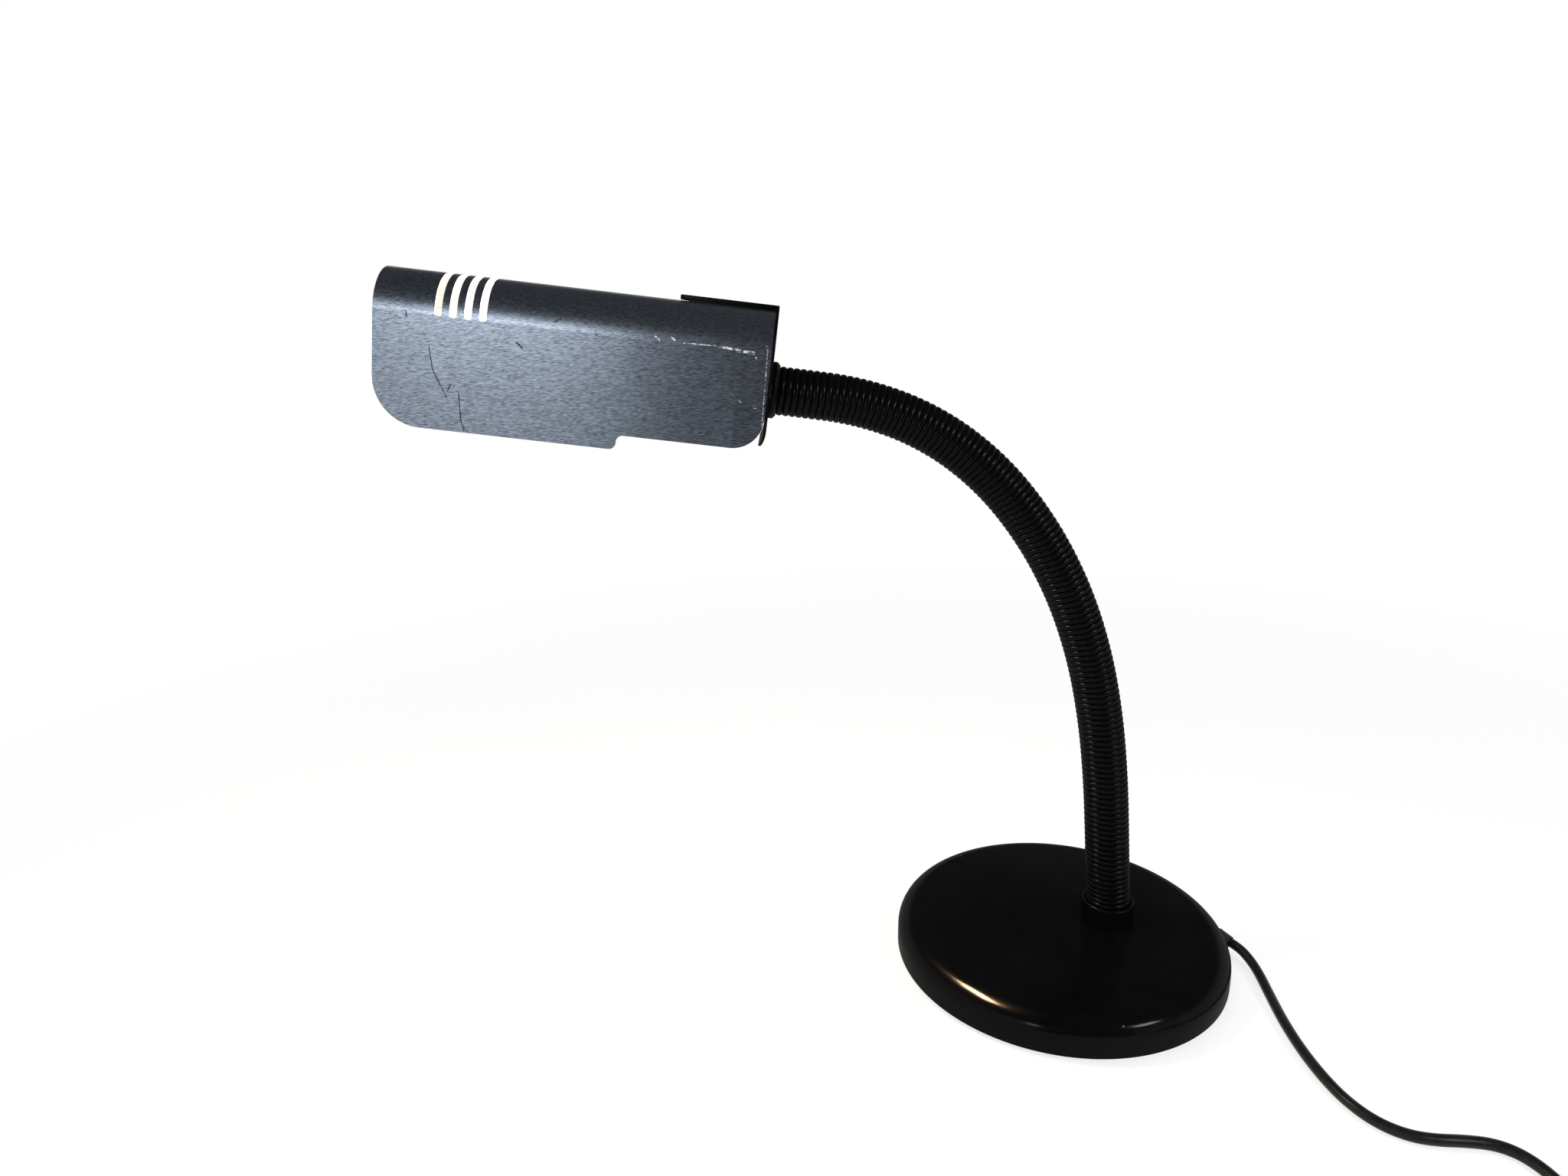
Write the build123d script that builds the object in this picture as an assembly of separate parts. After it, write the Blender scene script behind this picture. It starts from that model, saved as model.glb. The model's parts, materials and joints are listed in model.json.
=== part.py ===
"""Gooseneck desk lamp with a folded, slotted shade.

Millimetres, +Z up. The origin is the centre of the base's underside, on the surface that the
lamp stands on. The lamp is symmetric about the plane Y = 0, apart from its cord, and its head
reaches towards -X.
"""

import math
import os

from build123d import *

# ---- base -------------------------------------------------------------------------------
BASE_R = 87.5
BASE_H = 20.0
FOOT_H = 1.5
COVER_WALL = 2.5
COVER_ROUND = 9.6
COVER_LIP_ROUND = 0.8
COVER_IN_R = BASE_R - COVER_WALL
ROOF_Z = BASE_H - COVER_WALL
PLATE_T = 1.0
PLATE_TOP = FOOT_H + PLATE_T
PLATE_R = COVER_IN_R - 0.4
PAD_R = 84.0
BOSS_R = 4.5
BOSS_CIRCLE_R = 62.0
BOSS_ANGLES = (45, 135, 225, 315)
PILOT_R = 1.5
PILOT_TOP = 14.0
SCREW_HEAD_R = 3.2
SCREW_HEAD_T = 1.2
SCREW_L = 10.5
SCREW_GAP = 0.4
THREAD_GAP = 0.05
WEIGHT_R = 76.0
WEIGHT_BOTTOM = 6.5
WEIGHT_CHAMFER = 1.0
BOSS_GAP = 0.5
POCKET_HALF_W = 15.0
POCKET_START_X = 38.0
NUT_WELL_R = 15.5
NUT_WELL_TOP = 15.0
STEM_GAP = 0.2

# ---- neck -------------------------------------------------------------------------------
NECK_X = 26.0
COLLAR_R = 13.6
COLLAR_TOP = 31.5
COLLAR_CHAMFER = 0.7
STEM_R = 6.0
STEM_BOTTOM = 10.6
WASHER_R = 13.0
WASHER_T = 1.0
WASHER_GAP = 0.3
COLLAR_NUT_ACROSS = 18.0
COLLAR_NUT_T = 3.2
NUT_GAP = 0.02
RIB_CREST_R = 11.4
RIB_VALLEY_R = 10.4
RIB_PITCH = 3.05
RIBS = 10
BALL_R = 7.5
SOCKET_R = BALL_R + 0.08
SOCKET_LIP = 1.5  # how far a socket reaches past the middle of the ball that it holds
BALL_SHOULDER = 4.1  # from a ball's centre to the flat shoulder that it grows from
BORE_R = 3.6
FLARE_R = 6.4
LINK_LENGTH = 36.1
# the turn at each ball from the collar to the head, in degrees, as the neck rests
TURNS = (4.7, 0.5, 3.0, 5.0, 7.5, 9.0, 10.0, 13.5, 15.5, 13.5, 0.5)

# ---- head, in its own frame: x from the rear plate to the free end, z up ---------------
HEAD_LENGTH = 175.0
HEAD_WIDTH = 64.0
CROWN_Z = 35.8
SIDE_BOTTOM_Z = -32.0
STEP_BOTTOM_Z = -25.4
STEP_X = 66.5
STEP_ROUND = 3.2
FOLD_R = 19.0
SHEET_T = 1.0
FREE_CORNER_R = 21.0
REAR_CORNER_R = 14.2
SLOTS = 4
SLOT_FIRST_X = 146.7
SLOT_PITCH = 6.45
SLOT_W = 3.1
SLOT_BOTTOM_Z = 16.9
END_PLATE_T = 1.4
END_CORNER_R = 8.0
END_BOTTOM_Z = -23.9
CURL_Z = -16.5  # below this the rear plate curls forward
CURL_REACH = 1.8
SPIGOT_DEPTH = 8.0
SPIGOT_T = 1.6
SPIGOT_GAP = 0.1
SPIGOT_BOTTOM_Z = -8.5
TONGUE_LENGTH = 45.0
TONGUE_HALF_W = 14.0
TONGUE_TOP_Z = 38.4
TONGUE_CORNER_R = 3.0
TONGUE_CHAMFER = 0.5
TONGUE_UNDERCUT = 0.3
TONGUE_UNDERCUT_L = 4.0
TONGUE_FOOT_Z = CROWN_Z - FOLD_R / 2
FLANGE_R = 13.2
FLANGE_T = 3.4
FLANGE_CHAMFER = 1.5
HEAD_STEM_R = 5.0
HEAD_STEM_END = 16.0
HEAD_STEM_GAP = 0.1
BUSH_NUT_ACROSS = 17.0
BUSH_NUT_T = 4.0

# ---- lamp holder and bulb, on the head frame's x axis -----------------------------------
HOLDER_R = 14.0
HOLDER_START = 8.0
HOLDER_END = 58.0
HOLDER_BORE_R = 8.4
HOLDER_NECK_R = 10.0
HOLDER_NECK_L = 8.0
HOLDER_SHOULDER = 3.0
HOLDER_CHAMFER = 1.0
LEAD_HOLE_R = 2.6
RING_T = 3.0
RING_L = 5.0
RING_SETBACK = 12.0
SHELL_SETBACK = 6.0
SHELL_GAP = 0.35
CONTACT_R = 3.0
CONTACT_L = 2.0
CAP_R = 6.9
CAP_TIP_R = 2.6
CAP_TIP_L = 4.0
BULB_START = 34.0
CAP_END = BULB_START + 25.0
BULB_WALL = 0.8
BULB_JOIN = 56.0  # where the throat meets the ball, in degrees from the axis
BULB_R = 22.5
BULB_TIP = 112.0

# ---- switch in the tongue, in the head frame --------------------------------------------
SWITCH_X = 25.0
SWITCH_L = 19.0
SWITCH_W = 12.0
SWITCH_DEPTH = 12.5
SWITCH_GAP = 0.05
SWITCH_FLOOR = 5.0
BEZEL_W = 1.2
BEZEL_T = 0.6
BEZEL_CORNER_R = 1.0
WELL_GAP_X = 0.6
WELL_GAP_Y = 0.3
ROCKER_L = 14.6
ROCKER_W = 8.0
ROCKER_DISH = 0.8
ROCKER_SIDE = 3.2
ROCKER_DEPTH = 4.6
ROCKER_TAPER = 1.2
ROCKER_PIVOT_Z = 34.6
ROCKER_TOP_Z = 37.6
ROCKER_TILT = 7.0
PIN_R = 0.9
PIN_GAP = 0.06
PIN_WALL = 0.6
TAG_X = 5.0
TAG_T = 0.8
TAG_W = 4.8
TAG_L = 5.0

# ---- cord -------------------------------------------------------------------------------
CORD_D = 5.0
CORD_R = CORD_D / 2
CORD_Y = -2.0
CORD_Z = 8.0
GLAND_R = 4.3
GLAND_GAP = 0.05
GLAND_LIP = 1.1
GLAND_SLEEVE_R = GLAND_R - 0.6
GLAND_SEAT_X = COVER_IN_R - 0.8  # its flange's outer face, inside the curved wall
GLAND_SLEEVE = 7.0
GLAND_FLANGE_T = 2.2
DISH_SPREAD = 4.8
DISH_DEPTH = 3.0
DISH_X = COVER_IN_R + 0.6
KNUCKLE_X = 88.6
GLAND_TURN = -55.0
NOZZLE_L = 6.0
NOZZLE_TIP_R = 3.1
FIRST_RUN = 5.0  # straight out of the nozzle
# the rest of the route, chosen by hand: the cord falls to the table and lies on it
CORD_ROUTE = (
    (97.4, -18.0, 5.4),
    (98.3, -28.0, 3.6),
    (96.2, -45.0, 2.7),
    (93.7, -64.0, 2.6),
    (92.6, -83.0, 2.6),
    (93.4, -101.0, 2.6),
    (96.2, -116.0, 2.6),
    (102.2, -128.0, 2.6),
    (111.5, -135.4, 2.6),
    (122.0, -138.0, 2.6),
    (133.0, -138.6, 2.6),
    (144.0, -140.4, 2.6),
    (151.4, -145.4, 2.6),
    (155.6, -153.6, 2.6),
    (157.1, -164.0, 2.6),
    (157.5, -176.0, 2.6),
)
LAID_Z = CORD_R + 0.1
COIL_X = 192.5
COIL_Y = -212.0
COIL_TURN_R = 30.0
COIL_HALF = 1.5 * CORD_D
COIL_ROUND = 2.4
COIL_ENTRY_Y = -188.0
COIL_EXIT_ANGLE = -60.0
TIE_GAP = 0.05
TIE_T = 0.8
TIE_ANGLE = 35.0
TIE_SPAN = 15.0
PLUG_LEAD = 23.0
PLUG_Z = 7.0
PLUG_L = 35.0
PLUG_W = 25.0
PLUG_THROAT_W = 16.0
PLUG_TAIL_L = 14.0
PLUG_TAIL_WALL = 1.0
PLUG_GRIP_START = 12.0
PLUG_GRIP_FULL = 22.0
PLUG_CORNER_R = 5.0
PLUG_PIN_L = 19.0
PLUG_PIN_R = 2.0
PLUG_PIN_ROUND = 1.2
PLUG_PIN_Y = 9.3

NEAR = 0.01  # two points nearer than this are the same corner

NODES = {}


def node(name):
    """Keep what the function below makes as the sub-part of that name."""

    def keep(make):
        NODES[name] = make
        return make

    return keep


def tube(length, outer_r, inner_r, bottom=0.0):
    """An upright ring or tube on the Z axis, from bottom upwards."""
    low = (Align.CENTER, Align.CENTER, Align.MIN)
    ring = Cylinder(outer_r, length, align=low) - Cylinder(inner_r, length, align=low)
    return Pos(0, 0, bottom) * ring


def rod(length, radius, bottom=0.0):
    """An upright solid cylinder on the Z axis, from bottom upwards."""
    low = (Align.CENTER, Align.CENTER, Align.MIN)
    return Pos(0, 0, bottom) * Cylinder(radius, length, align=low)


def block(x, y, z):
    """A box between two limits along each axis."""
    size = (x[1] - x[0], y[1] - y[0], z[1] - z[0])
    low = (Align.MIN, Align.MIN, Align.MIN)
    return Pos(x[0], y[0], z[0]) * Box(*size, align=low)


def turned(points):
    """A solid of revolution about Z of a closed outline of radius and height."""
    outline = Plane.XZ * make_face(Polyline(*points, close=True))
    return revolve(outline, Axis.Z)


def along_x(solid):
    """Lay a solid that stands on the Z axis along the X axis."""
    return Rot(0, 90, 0) * solid


def hex_nut(across, height, bore_r, bottom):
    """A plain hexagon nut on the Z axis."""
    flats = extrude(RegularPolygon(across / 2, 6, major_radius=False), height)
    return Pos(0, 0, bottom) * (flats - rod(height, bore_r))


# ---- where the neck's balls are ---------------------------------------------------------
def neck_pivots():
    """The ball centres (x, z) and the heading of each link, in degrees from +X towards +Z."""
    heading = 90.0
    x, z = NECK_X, COLLAR_TOP - SOCKET_LIP
    pivots, headings = [], []
    for turn in TURNS:
        heading += turn
        pivots.append((x, z))
        headings.append(heading)
        x += LINK_LENGTH * math.cos(math.radians(heading))
        z += LINK_LENGTH * math.sin(math.radians(heading))
    return pivots, headings


PIVOTS, HEADINGS = neck_pivots()
LINKS = len(PIVOTS) - 1
HEAD_HEADING = HEADINGS[-1]


def heading_plane(point, heading):
    """The frame of a link or the head: z along the heading, y the same as the lamp's Y."""
    a = math.radians(heading)
    return Plane(
        origin=(point[0], 0, point[1]),
        x_dir=(math.sin(a), 0, -math.cos(a)),
        z_dir=(math.cos(a), 0, math.sin(a)),
    )


def head_plane():
    """The head's frame: x towards the free end, z up, at the rear plate on the neck's line."""
    a = math.radians(HEAD_HEADING)
    reach = BALL_SHOULDER + FLANGE_T
    x = PIVOTS[-1][0] + reach * math.cos(a)
    z = PIVOTS[-1][1] + reach * math.sin(a)
    along = (math.cos(a), 0, math.sin(a))
    return Plane(origin=(x, 0, z), x_dir=along, z_dir=(math.sin(a), 0, -math.cos(a)))


HEAD = head_plane().location


def at_bosses(solid):
    """A copy of the solid at each of the cover's screw bosses."""
    return [Rot(0, 0, a) * Pos(BOSS_CIRCLE_R, 0, 0) * solid for a in BOSS_ANGLES]


# ---- base: moulded cover, iron weight, plate and foot -----------------------------------
@node("base_cover")
def base_cover():
    outer = rod(BASE_H - FOOT_H, BASE_R, FOOT_H)
    outer = fillet(outer.edges().group_by(Axis.Z)[-1], COVER_ROUND)
    outer = fillet(outer.edges().group_by(Axis.Z)[0], COVER_LIP_ROUND)
    inner = rod(ROOF_Z - FOOT_H, COVER_IN_R, FOOT_H)
    inner = fillet(inner.edges().group_by(Axis.Z)[-1], COVER_ROUND - COVER_WALL)
    cover = outer - inner
    cover += at_bosses(rod(ROOF_Z - PLATE_TOP + COVER_WALL / 2, BOSS_R, PLATE_TOP))
    cover -= at_bosses(rod(PILOT_TOP - PLATE_TOP, PILOT_R, PLATE_TOP))
    cover -= Pos(NECK_X, 0, 0) * rod(BASE_H, STEM_R + STEM_GAP, FOOT_H)
    gland_hole = along_x(rod(3 * COVER_WALL, GLAND_R + GLAND_GAP))
    cover -= Pos(COVER_IN_R - COVER_WALL, CORD_Y, CORD_Z) * gland_hole
    low = (Align.CENTER, Align.CENTER, Align.MIN)
    dish = Cone(GLAND_R, GLAND_R + DISH_SPREAD, DISH_DEPTH, align=low)
    cover -= Pos(DISH_X, CORD_Y, CORD_Z) * along_x(dish)
    return cover


@node("base_weight")
def base_weight():
    weight = rod(ROOF_Z - WEIGHT_BOTTOM, WEIGHT_R, WEIGHT_BOTTOM)
    weight = chamfer(weight.edges(), WEIGHT_CHAMFER)
    weight -= at_bosses(rod(BASE_H, BOSS_R + BOSS_GAP))
    weight -= Pos(NECK_X, 0, 0) * rod(BASE_H, STEM_R + STEM_GAP)
    weight -= Pos(NECK_X, 0, 0) * rod(NUT_WELL_TOP, NUT_WELL_R)
    weight -= block((POCKET_START_X, BASE_R), (-POCKET_HALF_W, POCKET_HALF_W), (0, BASE_H))
    return weight


@node("base_plate")
def base_plate():
    plate = rod(PLATE_T, PLATE_R, FOOT_H)
    return plate - at_bosses(rod(BASE_H, PILOT_R + SCREW_GAP))


@node("foot_pad")
def foot_pad():
    """The felt-faced rubber disc under the plate, with holes for the screw heads."""
    return rod(FOOT_H, PAD_R) - at_bosses(rod(FOOT_H, SCREW_HEAD_R + SCREW_GAP))


@node("base_screws")
def base_screws():
    head = rod(SCREW_HEAD_T, SCREW_HEAD_R, FOOT_H - SCREW_HEAD_T)
    screw = head + rod(SCREW_L, PILOT_R - THREAD_GAP, FOOT_H)
    return Compound(children=at_bosses(screw))


# ---- neck foot: collar, washer and nut --------------------------------------------------
@node("neck_collar")
def neck_collar():
    collar = rod(COLLAR_TOP - BASE_H, COLLAR_R, BASE_H)
    collar = chamfer(collar.edges().group_by(Axis.Z)[-1], COLLAR_CHAMFER)
    collar += rod(BASE_H - STEM_BOTTOM, STEM_R, STEM_BOTTOM)
    collar -= rod(COLLAR_TOP, BORE_R)
    collar -= Pos(0, 0, COLLAR_TOP - SOCKET_LIP) * Sphere(SOCKET_R)
    return Pos(NECK_X, 0, 0) * collar


@node("collar_washer")
def collar_washer():
    washer = tube(WASHER_T, WASHER_R, STEM_R + WASHER_GAP, NUT_WELL_TOP - WASHER_T)
    return Pos(NECK_X, 0, 0) * washer


@node("collar_nut")
def collar_nut():
    bottom = NUT_WELL_TOP - WASHER_T - COLLAR_NUT_T
    nut = hex_nut(COLLAR_NUT_ACROSS, COLLAR_NUT_T, STEM_R + NUT_GAP, bottom)
    return Pos(NECK_X, 0, 0) * nut


# ---- mains terminals in the base --------------------------------------------------------
TERMINAL_X = (47.0, 63.0)
TERMINAL_TOP = 12.0
TERMINAL_HALF_Y = 8.5
WIRE_Y = 4.0
WIRE_R = 1.7
SCREW_X = (50.5, 59.5)
TERMINAL_SCREW_R = 1.45
TERMINAL_SCREW_L = 3.4
TERMINAL_SCREW_Z = CORD_Z + 0.2
CLAMP_X = (68.0, 76.0)
CLAMP_MID_X = sum(CLAMP_X) / 2
CLAMP_HALF_Y = 12.0
CLAMP_SCREW_YS = (CORD_Y - 8.0, CORD_Y + 8.0)
CLAMP_SPLIT = 0.3
CLAMP_TOP = CORD_Z + 5.0
CLAMP_SCREW_R = 1.25
CLAMP_SCREW_L = 8.5
CLAMP_SCREW_GAP = 0.35
CLAMP_HEAD_R = 2.6
CLAMP_HEAD_T = 1.6


@node("terminal_block")
def terminal_block():
    sides = (CORD_Y - TERMINAL_HALF_Y, CORD_Y + TERMINAL_HALF_Y)
    body = block(TERMINAL_X, sides, (PLATE_TOP, TERMINAL_TOP))
    length = TERMINAL_X[1] - TERMINAL_X[0]
    for y in (CORD_Y - WIRE_Y, CORD_Y + WIRE_Y):
        body -= Pos(TERMINAL_X[0], y, CORD_Z) * along_x(rod(length, WIRE_R))
        for x in SCREW_X:
            body -= Pos(x, y, CORD_Z) * rod(TERMINAL_TOP, TERMINAL_SCREW_R + THREAD_GAP)
    return body


@node("terminal_screws")
def terminal_screws():
    screw = rod(TERMINAL_SCREW_L, TERMINAL_SCREW_R, TERMINAL_SCREW_Z)
    rows = (CORD_Y - WIRE_Y, CORD_Y + WIRE_Y)
    return Compound(children=[Pos(x, y, 0) * screw for x in SCREW_X for y in rows])


def clamp_half(z, screw_gap):
    """Half of the clamp between two heights, grooved for the cord and bored for its screws."""
    half = block(CLAMP_X, (CORD_Y - CLAMP_HALF_Y, CORD_Y + CLAMP_HALF_Y), z)
    groove = along_x(rod(CLAMP_X[1] - CLAMP_X[0], CORD_R))
    half -= Pos(CLAMP_X[0], CORD_Y, CORD_Z) * groove
    for y in CLAMP_SCREW_YS:
        half -= Pos(CLAMP_MID_X, y, 0) * rod(BASE_H, CLAMP_SCREW_R + screw_gap)
    return half


@node("clamp_saddle")
def clamp_saddle():
    return clamp_half((PLATE_TOP, CORD_Z), THREAD_GAP)


@node("clamp_bar")
def clamp_bar():
    return clamp_half((CORD_Z + CLAMP_SPLIT, CLAMP_TOP), CLAMP_SCREW_GAP)


@node("clamp_screws")
def clamp_screws():
    screw = rod(CLAMP_SCREW_L, CLAMP_SCREW_R, CLAMP_TOP - CLAMP_SCREW_L)
    screw += rod(CLAMP_HEAD_T, CLAMP_HEAD_R, CLAMP_TOP)
    return Compound(children=[Pos(CLAMP_MID_X, y, 0) * screw for y in CLAMP_SCREW_YS])


# ---- neck: ribbed links on balls --------------------------------------------------------
def joint_heading(i):
    """The heading square to the gap at ball i: half way through the turn, but upright at the
    collar and along the head at the last ball."""
    if i == 0:
        return 90.0
    if i == LINKS:
        return HEAD_HEADING
    return HEADINGS[i] - TURNS[i] / 2


def bored_ball():
    """A ball on the origin with the lead's bore, flared below so that the lead can turn."""
    ball = Sphere(BALL_R) - rod(4 * BALL_R, BORE_R, -2 * BALL_R)
    return ball - Pos(0, 0, -BALL_R) * Cone(
        FLARE_R, BORE_R, BALL_R, align=(Align.CENTER, Align.CENTER, Align.MIN)
    )


def neck_link(i):
    """Link i stands on ball i and holds ball i + 1 in its socket. Both its ends are mitred to
    the neck's bend, and round ribs run along its middle."""
    first = BALL_SHOULDER + (LINK_LENGTH + SOCKET_LIP - BALL_SHOULDER - RIBS * RIB_PITCH) / 2
    bottom = -SOCKET_LIP
    outline = [(BORE_R, bottom), (RIB_VALLEY_R, bottom), (RIB_VALLEY_R, first)]
    for rib in range(RIBS):
        low = first + rib * RIB_PITCH
        outline.append((RIB_CREST_R, low + RIB_PITCH / 2))
        outline.append((RIB_VALLEY_R, low + RIB_PITCH))
    top = LINK_LENGTH + 2 * SOCKET_LIP
    outline += [(RIB_VALLEY_R, top), (BORE_R, top)]
    sleeve = turned(outline)

    lean_in = math.radians(HEADINGS[i] - joint_heading(i))
    lean_out = math.radians(joint_heading(i + 1) - HEADINGS[i])
    low_dir = Vector(math.sin(lean_in), 0, math.cos(lean_in))
    high_dir = Vector(-math.sin(lean_out), 0, math.cos(lean_out))
    low_cut = Plane(origin=low_dir * BALL_SHOULDER, z_dir=low_dir)
    high_point = Vector(0, 0, LINK_LENGTH) + high_dir * SOCKET_LIP
    high_cut = Plane(origin=high_point, z_dir=high_dir)
    sleeve = split(sleeve, bisect_by=low_cut, keep=Keep.TOP)
    sleeve = split(sleeve, bisect_by=high_cut, keep=Keep.BOTTOM)

    link = sleeve + bored_ball() - Pos(0, 0, LINK_LENGTH) * Sphere(SOCKET_R)
    return heading_plane(PIVOTS[i], HEADINGS[i]).location * link


for link_number in range(LINKS):
    NODES[f"neck_link_{link_number + 1:02d}"] = lambda i=link_number: neck_link(i)


# ---- head: bush, rear cap, folded shade -------------------------------------------------
@node("head_bush")
def head_bush():
    centre = -(BALL_SHOULDER + FLANGE_T)
    flange = rod(FLANGE_T, FLANGE_R, -FLANGE_T)
    flange = chamfer(flange.edges().group_by(Axis.Z)[0], FLANGE_CHAMFER)
    bush = flange + rod(HEAD_STEM_END, HEAD_STEM_R)
    bush -= rod(FLANGE_T + HEAD_STEM_END, BORE_R, -FLANGE_T)
    return HEAD * along_x(bush + Pos(0, 0, centre) * bored_ball())


@node("bush_nut")
def bush_nut():
    nut = hex_nut(BUSH_NUT_ACROSS, BUSH_NUT_T, HEAD_STEM_R + NUT_GAP, END_PLATE_T)
    return HEAD * along_x(nut)


def arch(width, crown, fold_r, bottom, corner_r):
    """The head's cross-section: upright sides, a top with two round folds, and the lower
    corners rounded too where corner_r isn't 0. Drawn on the plane across the head."""
    half = width / 2
    face = Pos(0, (crown + bottom) / 2) * Rectangle(width, crown - bottom)
    top = [v for v in face.vertices() if v.Y > (crown + bottom) / 2]
    face = fillet(top, fold_r)
    if corner_r:
        low = [v for v in face.vertices() if v.Y < bottom + NEAR and abs(v.X) > half - NEAR]
        face = fillet(low, corner_r)
    return face


ACROSS = Plane(origin=(0, 0, 0), x_dir=(0, 1, 0), z_dir=(1, 0, 0))


def across(face, start, end):
    """Extrude a cross-section of the head from one x to another."""
    return Pos(start, 0, 0) * extrude(ACROSS * face, end - start)


def rear_plate():
    """The cap's plate across the head. Its lower edge curls forward, between two arcs."""
    plate = arch(HEAD_WIDTH, CROWN_Z, FOLD_R, END_BOTTOM_Z, END_CORNER_R)
    half_way = ((CURL_Z + END_BOTTOM_Z) / 2, CURL_REACH / 4)
    outer = ThreePointArc(
        (0, CURL_Z), (half_way[1], half_way[0]), (CURL_REACH, END_BOTTOM_Z)
    )
    inner = ThreePointArc(
        (CURL_REACH + END_PLATE_T, END_BOTTOM_Z),
        (half_way[1] + END_PLATE_T, half_way[0]),
        (END_PLATE_T, CURL_Z),
    )
    foot = Line(outer @ 1, inner @ 0)
    above = Polyline(inner @ 1, (END_PLATE_T, CROWN_Z), (0, CROWN_Z), outer @ 0)
    side = make_face(outer + foot + inner + above)
    plate = across(plate, 0, END_PLATE_T + CURL_REACH)
    return plate & extrude(Plane.XZ * side, HEAD_WIDTH, both=True)


def rear_spigot():
    """The cap's rim inside the shade, along its crown and the upper part of its sides."""
    inset = SHEET_T + SPIGOT_GAP
    outer = arch(HEAD_WIDTH - 2 * inset, CROWN_Z - inset, FOLD_R - inset, SIDE_BOTTOM_Z, 0)
    rim = outer - offset(outer, -SPIGOT_T)
    rim -= Pos(0, SPIGOT_BOTTOM_Z - HEAD_WIDTH / 2) * Rectangle(HEAD_WIDTH, HEAD_WIDTH)
    return across(rim, END_PLATE_T, END_PLATE_T + SPIGOT_DEPTH)


@node("rear_cap")
def rear_cap():
    sides = (-TONGUE_HALF_W, TONGUE_HALF_W)
    tongue = block((0, TONGUE_LENGTH), sides, (CROWN_Z, TONGUE_TOP_Z))
    ends = tongue.edges().filter_by(Axis.Z).group_by(Axis.X)[-1]
    tongue = fillet(ends, TONGUE_CORNER_R)
    tongue = chamfer(tongue.edges().group_by(Axis.Z)[-1], TONGUE_CHAMFER)
    foot = block((0, END_PLATE_T), sides, (TONGUE_FOOT_Z, TONGUE_TOP_Z - TONGUE_CHAMFER))
    cap = rear_plate() + rear_spigot() + tongue + foot
    lift = (TONGUE_LENGTH - TONGUE_UNDERCUT_L, TONGUE_LENGTH)
    cap -= block(lift, sides, (CROWN_Z, CROWN_Z + TONGUE_UNDERCUT))
    cap -= along_x(rod(END_PLATE_T, HEAD_STEM_R + HEAD_STEM_GAP))
    cap -= switch_hole(SWITCH_GAP) + bezel(SWITCH_GAP)
    for hole in at_tabs(tab_screw(TAB_SCREW_GAP)):
        cap -= hole
    return HEAD * cap


def switch_hole(gap):
    """The rectangular hole for the switch, through the tongue and the crown."""
    x = (SWITCH_X - SWITCH_L / 2 - gap, SWITCH_X + SWITCH_L / 2 + gap)
    y = (-SWITCH_W / 2 - gap, SWITCH_W / 2 + gap)
    return block(x, y, (CROWN_Z - SPIGOT_DEPTH, TONGUE_TOP_Z))


def bezel(gap=0.0):
    """The switch's rim, flush with the tongue's top or, with a gap, the rebate for it."""
    half_l, half_w = SWITCH_L / 2 + BEZEL_W + gap, SWITCH_W / 2 + BEZEL_W + gap
    x = (SWITCH_X - half_l, SWITCH_X + half_l)
    rim = block(x, (-half_w, half_w), (TONGUE_TOP_Z - BEZEL_T, TONGUE_TOP_Z))
    return fillet(rim.edges().filter_by(Axis.Z), BEZEL_CORNER_R + gap)


# two tabs bent in from the shade's sides lie on the rear plate and take a screw each
TAB_Z = (-6.0, 8.0)
TAB_REACH = 9.0
TAB_SCREW_R = 1.5
TAB_SCREW_L = 16.0
TAB_SCREW_GAP = 0.08
CONE_R = 2.8
CONE_DEPTH = 1.3
TAB_SCREW_Y = HEAD_WIDTH / 2 - 6.0
TAB_SCREW_Z = 1.0
TAB_X = END_PLATE_T + SPIGOT_DEPTH + 0.2
TAB_NUT_ACROSS = 5.5
TAB_NUT_T = 2.4
CROWN_HOLE_GAP = 0.6


def tab_screw(gap=0.0):
    """A countersunk screw through the rear plate and a tab or, with a gap, the hole for it."""
    low = (Align.CENTER, Align.CENTER, Align.MIN)
    head = Cone(CONE_R + gap, TAB_SCREW_R + gap, CONE_DEPTH, align=low)
    return head + rod(TAB_SCREW_L + gap, TAB_SCREW_R + gap)


def at_tabs(solid):
    """A copy of a solid of the Z axis, laid along x, at each of the two shade tabs."""
    laid = along_x(solid)
    return [Pos(0, side * TAB_SCREW_Y, TAB_SCREW_Z) * laid for side in (-1, 1)]


def side_outline():
    """The shade seen from the side: square at the top, large round corners below, and a lower
    edge that steps up near the rear."""
    top = CROWN_Z + FOLD_R
    rear_z = STEP_BOTTOM_Z
    points = [
        (END_PLATE_T, rear_z),
        (STEP_X, rear_z),
        (STEP_X, SIDE_BOTTOM_Z),
        (HEAD_LENGTH, SIDE_BOTTOM_Z),
        (HEAD_LENGTH, top),
        (END_PLATE_T, top),
    ]
    face = make_face(Polyline(*points, close=True))
    corners = (
        (END_PLATE_T, rear_z, REAR_CORNER_R),
        (STEP_X, rear_z, STEP_ROUND),
        (STEP_X, SIDE_BOTTOM_Z, STEP_ROUND),
        (HEAD_LENGTH, SIDE_BOTTOM_Z, FREE_CORNER_R),
    )
    for x, z, radius in corners:
        here = [v for v in face.vertices() if abs(v.X - x) < NEAR and abs(v.Y - z) < NEAR]
        face = fillet(here, radius)
    return face


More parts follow.
